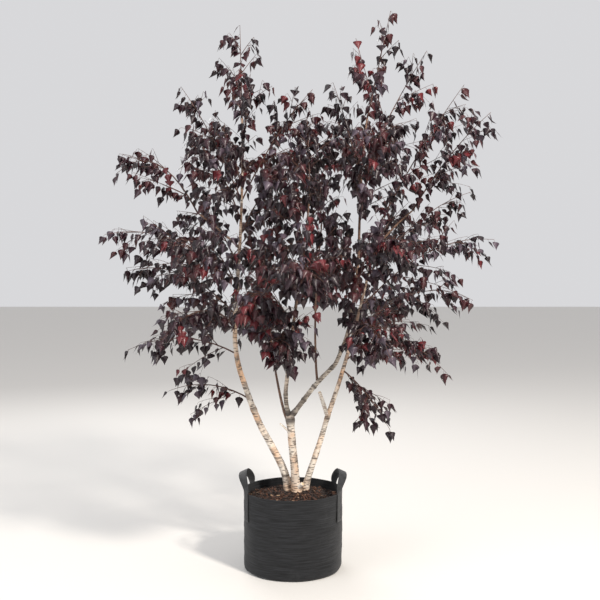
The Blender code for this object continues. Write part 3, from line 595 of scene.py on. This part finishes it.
def bark_tube(path, radii, swells, dice):
    """A limb's skin: rings square to the path. Each swell is a distance, a gain and a length,
    and multiplies the radius by one plus a bell round that distance. Waves round and along the
    limb and small random steps are added. The marks are how dark a swell is, and the radius."""
    head = unit(np.gradient(path, axis=0))
    first = unit(np.cross(head, [0.0, 1.0, 0.0]))
    second = np.cross(head, first)
    angle = np.linspace(0, 2 * math.pi, BARK_AROUND, endpoint=False)[None, :]
    along, size = lengths_along(path)[:, None], radii[:, None].copy()
    dark = np.zeros((len(path), 1))
    for distance, gain, reach in swells:
        bell = np.exp(-(((along - distance) / reach) ** 2))
        size = size * (1 + gain * bell)
        dark = np.maximum(dark, bell * np.clip(gain * 4, 0, 1))
    phase = dice.uniform(0, 2 * math.pi, 6)
    skin = 0.020 * np.sin(3 * angle + 5 * along + phase[0])
    skin = skin + 0.014 * np.sin(5 * angle - 23 * along + phase[1])
    skin = skin + 0.018 * np.sin(41 * along + 2 * np.sin(angle + phase[2]))
    skin = skin + 0.012 * np.sin(2 * angle + 71 * along + phase[3])
    skin = skin + dice.normal(0, BARK_ROUGHNESS, (len(path), BARK_AROUND))
    radius = size * (1 + skin)
    radius[-1] *= BARK_TIP_SHRINK
    ring = first[:, None] * np.cos(angle)[..., None] + second[:, None] * np.sin(angle)[..., None]
    places = np.stack(np.broadcast_arrays(angle * BARK_MAP_RADIUS, along), -1)
    marks = np.stack(np.broadcast_arrays(dark, size, radius)[:2], -1)
    faces = np.vstack([grid_faces(len(path), BARK_AROUND), end_caps(len(path), BARK_AROUND)])
    return path[:, None] + ring * radius[..., None], faces, places, marks


def first_two(vector):
    """The first two numbers of a vector."""
    split = vector.node("ShaderNodeSeparateXYZ", {}, vector).socket.node
    return [Node(vector.tree, split.outputs[number]) for number in (0, 1)]


def birch_bark(name, young):
    """White bark with dark dashes across it, grey patches, pink-tan stains and black collars.
    Young bark is copper brown with pale streaks."""
    material, shader, place = new_material(name)
    dark, size = first_two(carried_map(place, "marks"))
    cells = stretched(place, (30, 30, 165))
    dashes = place.node("ShaderNodeTexVoronoi", {}, cells, None, 1.0)
    wobble = noise(place, (30, 30, 120), 4.0, 0.6)
    lines = 1 - (dashes + 0.30 * wobble).between(0.40, 0.56)
    bands = noise(place, (9, 9, 95), 3.0, 0.6)
    patch = noise(place, 16.0, 4.0, 0.6)
    stain = noise(place, 9.0, 3.0, 0.5)
    fine = noise(place, (60, 60, 420), 4.0, 0.65)
    if young:
        base = mixed(patch.between(0.35, 0.7), (0.105, 0.045, 0.026), (0.23, 0.125, 0.080))
        base = mixed(bands.between(0.56, 0.72) * 0.75, base, (0.55, 0.45, 0.37))
        older = mixed(patch.between(0.42, 0.58), (0.20, 0.17, 0.14), (0.62, 0.55, 0.46))
        base = mixed(size.between(0.0065, 0.0120), base, older)
    else:
        base = mixed(stain.between(0.42, 0.66), (0.80, 0.72, 0.62), (0.66, 0.42, 0.26))
        base = mixed(patch.between(0.50, 0.62) * 0.85, base, (0.27, 0.21, 0.17))
        thin = 1 - size.between(0.0075, 0.0125)
        base = mixed(thin * 0.8 * patch.between(0.3, 0.5), base, (0.20, 0.105, 0.065))
    base = mixed(lines * 0.92, base, (0.035, 0.024, 0.020))
    base = mixed(bands.between(0.56, 0.66) * 0.8, base, (0.085, 0.062, 0.050))
    base = mixed(dark * 0.92, base, (0.035, 0.028, 0.026))
    base = mixed(fine * 0.2, base, (0.25, 0.19, 0.15))
    coat(shader, base, 0.62 + 0.2 * fine, fine * 0.4 - lines * 0.6 + bands * 0.5, 0.6, 0.0015)
    return material


SWELLS = {
    "stem_left": [(0.37, 0.05, 0.004), (0.47, 0.16, 0.012), (0.16, 0.04, 0.006), (0.90, 0.08, 0.008)],
    "stem_middle": [(0.387, 0.26, 0.020), (0.10, 0.05, 0.010), (0.29, 0.05, 0.006)],
    "stem_right": [(0.405, 0.16, 0.014), (0.22, 0.04, 0.005), (0.62, 0.08, 0.008)],
    "bough_right": [(0.03, 0.30, 0.018), (0.115, 0.22, 0.006), (0.20, 0.25, 0.008), (0.33, 0.15, 0.010)],
    "bough_centre": [(0.02, 0.25, 0.020), (0.12, 0.12, 0.006), (0.24, 0.12, 0.006)],
}
PLAIN_SWELLS = [(0.01, 0.2, 0.012)]
white_bark = birch_bark("white_birch_bark", False)
copper_bark = birch_bark("copper_birch_bark", True)
dice = np.random.default_rng(7)
for name, (path, radii) in grown.items():
    bark, slot = copper_bark, "brown_bark"
    if name in STEMS:
        bark, slot = white_bark, "pale_bark"
        path = np.vstack([path[0] - [0, 0, FOOT_DEPTH], path])
        radii = np.concatenate([radii[:1] * FOOT_SPREAD, radii])
    points, faces, places, marks = bark_tube(path, radii, SWELLS.get(name, PLAIN_SWELLS), dice)
    new_piece("bark_" + name, points, faces, bark, slot, (name,), surface=places, marks=marks)

# Pruned stubs: a thin white peg and a stump at the foot of the middle stem, and a longer cut
# limb on the right stem, each with a pale sawn end.
STUBS = (
    ("stem_middle", 0.664, (-47, -12), 0.078, 0.0050),
    ("stem_middle", 0.386, (48, -40), 0.050, 0.0125),
    ("stem_right", 0.735, (-18, -6), 0.136, 0.0098),
)
STUB_STEPS = 24
STUB_TAPER = (1.12, 0.9)
CUT_SHARE = 0.66
CUT_DEPTHS = np.array([[-0.004], [0.0006]])
stub_bark, shader, place = new_material("pale_stub_bark")
skin = noise(place, (70, 70, 200), 4.0, 0.6)
pale = mixed(skin.between(0.35, 0.62), (0.42, 0.33, 0.26), (0.84, 0.78, 0.70))
coat(shader, pale, 0.6 + 0.2 * skin, skin, 0.4, 0.001)
cut_wood, shader, place = new_material("sawn_wood")
grain = noise(place, 90.0, 3.0, 0.5)
coat(shader, mixed(grain, (0.62, 0.42, 0.24), (0.86, 0.72, 0.52)), 0.8, grain, 0.3, 0.001)
for index, (limb, height, (right, back), length, radius) in enumerate(STUBS):
    root = point_at(grown[limb][0], height)
    head = unit(np.array([math.tan(math.radians(right)), math.tan(math.radians(back)), 1.0]))
    path = root + head * np.linspace(0, length, STUB_STEPS)[:, None]
    radii = radius * np.linspace(*STUB_TAPER, STUB_STEPS)
    points, faces, places, _ = bark_tube(path, radii, [(0.02, 0.1, 0.01)], dice)
    new_piece(f"stub_{index}", points, faces, stub_bark, "pale_bark", surface=places)
    disc = path[-1] + head * CUT_DEPTHS
    points, faces, places = tubes(disc[None], np.full((1, 2), radius * CUT_SHARE), 20)
    new_piece(f"stub_end_{index}", points, faces, cut_wood, "pale_bark", surface=places)

# Twigs: thin, red-brown and slightly shiny wood that grows out of the limbs. From each limb a
# main twig arches to the tip given here, with side twigs by a seeded rule and finer ones on
# them. Each row is the limb, the height on it, the tip, the arch and the fullness.
MASSES = {
    "leaves_low_left": ("stem_left", 0.83, (-0.62, 0.02, 0.88), 0.05, 0.6),
    "leaves_lower_left": ("stem_left", 1.06, (-0.82, -0.05, 1.09), 0.07, 0.7),
    "leaves_lower_left_front": ("stem_left", 1.20, (-0.60, -0.42, 1.16), 0.11, 1.0),
    "leaves_lower_left_back": ("stem_left", 1.18, (-0.60, 0.50, 1.15), 0.11, 1.0),
    "leaves_middle_left": ("stem_left", 1.26, (-0.86, 0.12, 1.48), 0.10, 1.0),
    "leaves_outer_left": ("stem_left", 1.42, (-0.90, -0.20, 1.66), 0.10, 0.9),
    "leaves_left_arch": ("bough_left_arch", LIMB_TIP, (-0.89, 0.00, 1.97), 0.15, 0.9),
    "leaves_left_front": ("stem_left", 1.40, (-0.50, -0.60, 1.53), 0.13, 1.0),
    "leaves_left_back": ("stem_left", 1.50, (-0.62, 0.62, 1.78), 0.12, 1.0),
    "leaves_upper_left_front": ("stem_left", 1.74, (-0.46, -0.38, 2.06), 0.08, 1.0),
    "leaves_upper_left": ("stem_left", 1.84, (-0.57, 0.05, 2.42), 0.04, 0.9),
    "leaves_upper_left_back": ("stem_left", 1.90, (-0.42, 0.42, 2.26), 0.08, 1.0),
    "leaves_left_peak": ("stem_left", LIMB_TIP, (-0.27, 0.06, 2.735), 0.00, 1.2),
    "leaves_left_peak_front": ("stem_left", 2.00, (-0.20, -0.24, 2.42), 0.05, 0.9),
    "leaves_left_inner": ("stem_left", 1.66, (-0.02, 0.12, 2.04), 0.05, 1.0),
    "leaves_left_peak_right": ("stem_left", 1.84, (0.10, 0.02, 2.40), 0.05, 0.9),
    "leaves_low_centre": ("bough_centre", 1.08, (-0.06, -0.52, 1.08), 0.12, 1.0),
    "leaves_centre_left": ("bough_centre", 1.20, (-0.24, -0.56, 1.30), 0.13, 1.0),
    "leaves_centre_front": ("bough_front", LIMB_TIP, (0.08, -0.80, 1.42), 0.08, 1.2),
    "leaves_centre_inner": ("bough_centre", 1.40, (-0.12, -0.26, 1.70), 0.04, 1.0),
    "leaves_centre_high": ("bough_centre", 1.58, (-0.06, -0.44, 1.98), 0.06, 1.0),
    "leaves_centre_top": ("bough_centre", LIMB_TIP, (0.07, -0.10, 2.24), 0.03, 1.2),
    "leaves_right_inner": ("bough_right", 1.34, (0.14, -0.12, 1.80), 0.03, 1.0),
    "leaves_right_peak_left": ("bough_right", 1.92, (0.20, -0.05, 2.42), 0.03, 0.9),
    "leaves_right_peak": ("bough_right", LIMB_TIP, (0.49, -0.02, 2.785), 0.00, 1.2),
    "leaves_right_peak_right": ("bough_right", 1.96, (0.68, 0.04, 2.60), 0.03, 0.9),
    "leaves_high_right_front": ("bough_right", 1.72, (0.42, -0.46, 2.16), 0.07, 1.0),
    "leaves_high_right_back": ("bough_right", 1.86, (0.32, 0.42, 2.28), 0.06, 1.0),
    "leaves_right_front": ("bough_right", 1.42, (0.48, -0.64, 1.56), 0.13, 1.0),
    "leaves_low_right_front": ("bough_right", 1.12, (0.44, -0.50, 1.10), 0.12, 1.0),
    "leaves_upper_right": ("stem_right", LIMB_TIP, (0.88, 0.10, 2.44), 0.03, 1.1),
    "leaves_outer_right": ("bough_right_outer", LIMB_TIP, (0.97, -0.12, 2.26), 0.04, 1.0),
    "leaves_middle_right": ("stem_right", 1.46, (0.94, 0.24, 1.90), 0.07, 0.9),
    "leaves_side_right": ("stem_right", 1.28, (1.00, -0.05, 1.64), 0.11, 0.9),
    "leaves_lower_right": ("stem_right", 1.14, (0.92, 0.20, 1.34), 0.12, 0.9),
    "leaves_drooping_right": ("stem_right", 1.02, (0.76, -0.06, 0.98), 0.13, 0.7),
    "leaves_low_right": ("stem_right", 0.97, (0.48, -0.08, 0.70), 0.03, 0.6),
    "leaves_low_right_back": ("stem_right", 1.20, (0.52, 0.66, 1.24), 0.12, 1.0),
    "leaves_right_back": ("stem_right", 1.54, (0.66, 0.62, 1.78), 0.10, 1.0),
    "leaves_low_back": ("bough_back", 1.08, (-0.24, 0.66, 1.18), 0.11, 1.0),
    "leaves_back_left": ("bough_back", LIMB_TIP, (-0.20, 0.76, 1.62), 0.08, 1.0),
    "leaves_back_centre": ("bough_upright", 1.28, (0.16, 0.80, 1.42), 0.13, 1.0),
    "leaves_upper_back": ("bough_upright", LIMB_TIP, (0.08, 0.48, 2.12), 0.06, 1.0),
}
SEED = 11
MAIN_TWIG_STEPS = 10
TWIGS_PER_METRE = 7.0
OUTER_EXTRA_TWIGS = 0.85
INNER_EXTRA_TWIGS = 4.6
FIRST_TWIG_SHARE = 0.05
TWIG_SHARE_SPAN = 0.80
TWIG_CROWDING = 1.35
TWIG_TURN = math.radians(137.5)
TWIG_TURN_PLAY = 0.3
TWIG_SPREAD = (math.radians(30), math.radians(50))
TWIG_FLATNESS = 0.8
TWIG_LENGTH_SHARE = 0.54
TWIG_LENGTH_FALL = 1.1
TWIG_LENGTH_LEAST = 0.03
TWIG_LENGTH_PLAY = (0.75, 1.25)
TWIG_SAG = (0.0, 0.5)
TWIG_STEPS = 6
FINE_TWIG_EVERY = 0.12
FINE_TWIG_BARE = 0.05
FINE_TWIG_SHARES = (0.15, 0.70)
FINE_TWIG_LENGTH = (0.03, 0.45)
FINE_TWIG_PLAY = (0.7, 1.2)
FINE_TWIG_SAG = (0.2, 0.6)
FINE_TWIG_STEPS = 4
CROWN_MIDDLE = 0.03
CROWN_MIDDLE_REACH = 0.62
CROWN_MIDDLE_TOP = 2.5
CROWN_MIDDLE_FADE = 0.3
SPACE_SLACK = 0.08
SPACE_SAMPLES = 32


def along(path, share):
    """Point and heading at a share of a path's length."""
    place_on = share * (len(path) - 1)
    step = min(len(path) - 2, int(place_on))
    move = path[step + 1] - path[step]
    return path[step] + move * (place_on - step), unit(move)


def length_of(path):
    """Length of a path: the sum of its steps."""
    return float(np.linalg.norm(np.diff(path, axis=0), axis=1).sum())


def off_axis(head, roll):
    """A direction square to the heading, turned round it by the roll: a cosine of the level
    side plus a sine of the upright one, whose height is then flattened a little."""
    level = unit(np.cross(head, (0.0, 0.0, 1.0) if abs(head[2]) < 0.97 else (1.0, 0.0, 0.0)))
    side = math.cos(roll) * level + math.sin(roll) * np.cross(level, head)
    side[2] *= TWIG_FLATNESS
    return unit(side)


def sagging_path(start, head, length, sag, steps):
    """A twig's path: steps of equal length, with an equal share of the sag taken off the
    heading's height before each."""
    points = [start]
    for _ in range(steps):
        head = unit(head + np.array([0.0, 0.0, -sag / steps]))
        points.append(points[-1] + head * length / steps)
    return np.array(points)


def main_path(row):
    """A mass's main twig: the straight line from limb to tip, raised by four arches times the
    share along it times the share left."""
    limb, height, tip, arch, _ = row
    root = point_at(grown[limb][0], height)
    share = np.linspace(0, 1, MAIN_TWIG_STEPS + 1)[:, None]
    return root + (np.array(tip) - root) * share + np.array([0, 0, 4 * arch]) * share * (1 - share)


def branches(path, shares, lengths, length_play, sag_play, steps, dice):
    """Twigs off a path at shares of its length. Each is turned on round it by about the golden
    angle and spread from its heading, with a length and a sag that vary at random."""
    roll = dice.uniform(0, 2 * math.pi)
    paths = []
    for share, length in zip(shares, lengths):
        point, head = along(path, share)
        roll += TWIG_TURN + dice.uniform(-TWIG_TURN_PLAY, TWIG_TURN_PLAY)
        spread = dice.uniform(*TWIG_SPREAD)
        aim = math.cos(spread) * head + math.sin(spread) * off_axis(head, roll)
        reach = length * dice.uniform(*length_play)
        paths.append(sagging_path(point, aim, reach, dice.uniform(*sag_play), steps))
    return paths


def side_paths(main, fullness, dice):
    """Side twigs: a power of their number sets them closer near the root, and their length
    falls with a power of the share left to the tip."""
    length = length_of(main)
    count = round(TWIGS_PER_METRE * fullness * length)
    middles = [(index + 0.5) / count for index in range(count)]
    shares = [FIRST_TWIG_SHARE + TWIG_SHARE_SPAN * middle**TWIG_CROWDING for middle in middles]
    lengths = [TWIG_LENGTH_SHARE * length * (1 - share) ** TWIG_LENGTH_FALL + TWIG_LENGTH_LEAST
               for share in shares]
    return branches(main, shares, lengths, TWIG_LENGTH_PLAY, TWIG_SAG, TWIG_STEPS, dice)


def extra_share(tip):
    """How many times its own side twigs a mass gets on top. It falls from the inner number to
    the outer one as the tip lies further from the crown's middle line and nearer its top."""
    inward = (CROWN_MIDDLE_REACH - abs(tip[0] - CROWN_MIDDLE)) / CROWN_MIDDLE_FADE
    downward = (CROWN_MIDDLE_TOP - tip[2]) / CROWN_MIDDLE_FADE
    middle = min(1.0, max(0.0, inward)) * min(1.0, max(0.0, downward))
    return OUTER_EXTRA_TWIGS + (INNER_EXTRA_TWIGS - OUTER_EXTRA_TWIGS) * middle


def fine_paths(twig, dice):
    """The last order of twigs: evenly spaced along a twig, each a least length plus a share of
    the twig's length that falls evenly to the tip."""
    length = length_of(twig)
    count = max(0, round((length - FINE_TWIG_BARE) / FINE_TWIG_EVERY))
    first, span = FINE_TWIG_SHARES
    least, longest = FINE_TWIG_LENGTH
    shares = [first + span * (index + 0.5) / count for index in range(count)]
    lengths = [least + longest * length * (1 - share) for share in shares]
    return branches(twig, shares, lengths, FINE_TWIG_PLAY, FINE_TWIG_SAG, FINE_TWIG_STEPS, dice)


mains = [main_path(row) for row in MASSES.values()]
axes = np.array([[along(main, s)[0] for s in np.linspace(0, 1, SPACE_SAMPLES)] for main in mains])


def in_own_space(point, index):
    """True if its own mass's main twig is the nearest to the point, or further by no more than
    a slack."""
    reach = np.linalg.norm(axes - point, axis=2).min(axis=1)
    return reach[index] < reach.min() + SPACE_SLACK


# Leaves: small, triangular with a long tip and toothed edges, hanging from the twigs on thin
# stalks. Most are almost black purple, with whole sprays of plum, maroon and crimson among
# them, and sprays of a paler grey violet that is painted highlight, standing in for leaf gloss.
LEAF_LENGTH = 0.057
LEAF_SIZE_PLAY = (0.72, 1.12)
LEAF_GAP = 0.043
LEAF_GAP_PLAY = (0.8, 1.2)
LEAF_THICKNESS = 0.0004
LEAF_FOLD = (0.05, 0.38)
LEAF_CURL = (0.10, 0.12)
LEAF_NARROWING = (0.88, 1.12)
LEAF_TURN_PLAY = 0.8
LEAF_HANG_OUT = (-0.1, 0.75)
STALK_LENGTH = 0.017
STALK_RADIUS = 0.00065
MAIN_BARE = 0.05
SIDE_BARE = 0.03
FINE_BARE = 0.012
MOST_LEAVES = 1500
LEAF_SHADES = {
    "black_purple": ((0.0150, 0.0050, 0.0085), 0.42),
    "plum": ((0.0300, 0.0080, 0.0140), 0.22),
    "maroon": ((0.0520, 0.0090, 0.0120), 0.15),
    "crimson": ((0.1150, 0.0120, 0.0160), 0.07),
    # Painted highlight: this paler grey violet shade stands in for the silvery gloss on the leaves.
    "violet": ((0.0800, 0.0560, 0.0760), 0.13),
}
SHADE_WEIGHTS = np.array([weight for _, weight in LEAF_SHADES.values()])
SHADE_WEIGHTS = SHADE_WEIGHTS / SHADE_WEIGHTS.sum()


def leaves_along(path, bare, dice):
    """Rows of point, heading and shade for the leaves of one spray: spaced along the twig from
    where it is bare to its tip, all of one shade."""
    shade = dice.choice(len(LEAF_SHADES), p=SHADE_WEIGHTS)
    length = length_of(path)
    distance = bare
    rows = []
    while distance < length:
        rows.append((*np.concatenate(along(path, distance / length)), shade))
        distance += LEAF_GAP * dice.uniform(*LEAF_GAP_PLAY)
    return rows + [(*np.concatenate(along(path, 1.0)), shade)]


coarse, middling, fine = [], [], []
leaf_rows = []
for index, row in enumerate(MASSES.values()):
    main = mains[index]
    dice = np.random.default_rng([SEED, index])
    more_dice = np.random.default_rng([SEED, index, 1])
    _, _, tip, _, fullness = row
    sides = side_paths(main, fullness, dice)
    sides += side_paths(main, fullness * extra_share(tip), more_dice)
    sides = [path for path in sides if in_own_space(path[-1], index)]
    coarse.append(main)
    middling += sides
    sprays = [(main, MAIN_BARE)] + [(path, SIDE_BARE) for path in sides]
    for path in [main] + sides:
        for twig in fine_paths(path, more_dice):
            if in_own_space(twig[-1], index):
                fine.append(twig)
                sprays.append((twig, FINE_BARE))
    for path, bare in sprays:
        leaf_rows += leaves_along(path, bare, more_dice)

twig_bark, shader, place = new_material("red_twig_bark")
shine = noise(place, 70.0, 3.0, 0.6)
red_brown = mixed(shine.between(0.35, 0.7), (0.045, 0.016, 0.012), (0.120, 0.050, 0.034))
coat(shader, red_brown, 0.62 - 0.2 * shine, noise(place, (300, 300, 900)), 0.3, 0.0005)
for name, paths, (thick, thin), sides in (
    ("main_twigs", coarse, (0.0042, 0.0010), 7),
    ("side_twigs", middling, (0.0023, 0.0007), 5),
    ("fine_twigs", fine, (0.0011, 0.0006), 4),
):
    paths = np.array(paths)
    radii = np.broadcast_to(np.linspace(thick, thin, paths.shape[1]), paths.shape[:2])
    points, faces, places = tubes(paths, radii, sides)
    new_piece(name, points, faces, twig_bark, "purple_leaves", surface=places)

leaf_rows = np.array(leaf_rows)
dice = np.random.default_rng(23)
count = len(leaf_rows)
node, head, shade = leaf_rows[:, :3], leaf_rows[:, 3:6], leaf_rows[:, 6].astype(int)
outward = unit(head * [1, 1, 0] + 1e-6)
spin = dice.uniform(0, 2 * math.pi, count)
sideways = polar(1.0, spin, 0.0)
swing = outward * dice.uniform(*LEAF_HANG_OUT, (count, 1))
hang = unit(np.array([0, 0, -1.0]) + swing + 0.35 * sideways)
stalk_way = unit(hang + 0.9 * sideways + 0.3 * outward)
stalk_end = node + STALK_LENGTH * (0.45 * stalk_way + 0.55 * hang)
stalk_bend = node + STALK_LENGTH * 0.5 * stalk_way
turn = np.arctan2(outward[:, 1], outward[:, 0]) + math.pi / 2
turn = turn + dice.normal(0, LEAF_TURN_PLAY, count)
across = polar(1.0, turn, 0.0)
normal = unit(np.cross(hang, across))
across = np.cross(normal, hang)
size = LEAF_LENGTH * dice.uniform(*LEAF_SIZE_PLAY, count)
fold = dice.uniform(*LEAF_FOLD, count)
curl = dice.normal(*LEAF_CURL, count)
narrow = dice.uniform(*LEAF_NARROWING, count)

stalks = np.stack([node, stalk_bend, stalk_end], 1)
points, faces, places = tubes(stalks, np.full((count, 3), STALK_RADIUS), 3)
new_piece("leaf_stalks", points, faces, twig_bark, "purple_leaves", surface=places)

# A leaf's outline: shares of its length from the stalk, and half its width there by its length.
LEAF_OUTLINE = np.array([
    (0.0, 0.0), (0.045, 0.20), (0.11, 0.335), (0.19, 0.375), (0.28, 0.375), (0.37, 0.300),
    (0.46, 0.265), (0.56, 0.175), (0.67, 0.135), (0.79, 0.065), (0.90, 0.030), (1.0, 0.0),
])
LEAF_SHARES, LEAF_HALF_WIDTHS = LEAF_OUTLINE.T.copy()


def leaf_blades(chosen):
    """Blades. Each row along a leaf has a left edge, the midrib above and below, and a right
    edge. The midrib hangs down by the share of the length and bends by the share squared times
    the curl. The edges stand off by the half width and are lifted by the fold times that."""
    share, half = LEAF_SHARES[None, :, None], LEAF_HALF_WIDTHS[None, :, None]
    long = size[chosen, None, None]
    base = stalk_end[chosen, None]
    down, wide, face = hang[chosen, None], across[chosen, None], normal[chosen, None]
    curled = curl[chosen, None, None]
    bend = curled * share**2 * long
    spine = base + down * share * long * (1 - 0.15 * np.abs(curled) * share) + face * bend
    reach = half * long * narrow[chosen, None, None]
    lift = reach * fold[chosen, None, None]
    left = spine - wide * reach + face * lift
    right = spine + wide * reach + face * lift
    thick = LEAF_THICKNESS * np.sqrt(np.clip(half * 2.6, 0.02, 1))
    over, beneath = spine + face * thick, spine - face * thick
    points = np.stack([left, over, right, beneath], 2)
    rows = len(LEAF_SHARES)
    sideways = LEAF_HALF_WIDTHS[:, None] * [-1, 0, 1, 0]
    places = np.stack(np.broadcast_arrays(sideways, LEAF_SHARES[:, None]), -1)
    many = len(chosen)
    faces = grid_faces(rows, 4)[None] + rows * 4 * np.arange(many)[:, None, None]
    faces = np.vstack([faces[..., [0, 1, 2]].reshape(-1, 3), faces[..., [0, 2, 3]].reshape(-1, 3)])
    return points, faces, np.tile(places, (many, 1, 1))


for kind, (shade_name, (colour, _)) in enumerate(LEAF_SHADES.items()):
    leaf, shader, place = new_material("leaf_" + shade_name)
    over, down = first_two(carried_map(place))
    veins = (down + abs(over) * -0.9) * 62.0
    veins = veins.math("SINE", veins).between(0.55, 1.0)
    rib = 1 - abs(over).between(0.0, 0.03)
    mottle = noise(place, 55.0, 3.0, 0.6)
    relief = 0.25 * mottle - 0.5 * veins - 0.5 * rib
    coat(shader, colour, 0.26 + 0.18 * mottle, relief, 0.45, 0.0012)
    shader.inputs["Specular IOR Level"].default_value = 0.55
    chosen = np.flatnonzero(shade == kind)
    shares = np.array_split(chosen, -(-len(chosen) // MOST_LEAVES))
    for number, share in enumerate(shares):
        points, faces, places = leaf_blades(share)
        replaced = tuple(MASSES) if kind == number == 0 else ()
        new_piece(f"leaves_{shade_name}_{number}", points, faces, leaf, "purple_leaves", replaced,
                  surface=places)

# Studio: a pale floor and backdrop colour, a warm key light from the right and above as in
# late sun, a broad soft fill from the left and a weak light from behind.
FLOOR_REACH = 30
floor_mesh = bpy.data.meshes.new("studio_floor")
floor_ways = ((-1, -1), (1, -1), (1, 1), (-1, 1))
corners = [(x * FLOOR_REACH, y * FLOOR_REACH, 0) for x, y in floor_ways]
floor_mesh.from_pydata(corners, [], [(0, 1, 2, 3)])
floor = bpy.data.objects.new("studio_floor", floor_mesh)
bpy.context.scene.collection.objects.link(floor)
pale, shader, place = new_material("pale_floor")
coat(shader, (0.70, 0.68, 0.65), 0.9)
floor_mesh.materials.append(pale)

world = bpy.data.worlds.new("studio")
world.use_nodes = True
backdrop = world.node_tree.nodes["Background"]
backdrop.inputs["Color"].default_value = (0.86, 0.86, 0.88, 1.0)
backdrop.inputs["Strength"].default_value = 0.8
bpy.context.scene.world = world


def add_light(name, place, aim, power, size, colour):
    """A square soft light at a place, facing a point: tipped up from straight down by the
    angle of the way to it, then turned to its bearing."""
    lamp = bpy.data.lights.new(name, "AREA")
    lamp.energy = power
    lamp.size = size
    lamp.color = colour
    light = bpy.data.objects.new(name, lamp)
    light.location = place
    way = np.array(aim) - np.array(place)
    level = math.hypot(way[0], way[1])
    light.rotation_euler = (math.atan2(level, -way[2]), 0.0, math.atan2(-way[0], way[1]))
    bpy.context.scene.collection.objects.link(light)


add_light("key_light", (3.6, -4.6, 5.6), (0, 0, 1.3), 640, 0.8, (1.0, 0.94, 0.86))
add_light("fill_light", (-4.5, -3.0, 3.0), (0, 0, 1.2), 120, 3.5, (0.92, 0.95, 1.0))
add_light("back_light", (-1.5, 4.5, 4.5), (0, 0, 1.4), 120, 3.0, (1.0, 1.0, 1.0))
bpy.context.scene.view_settings.view_transform = "Standard"
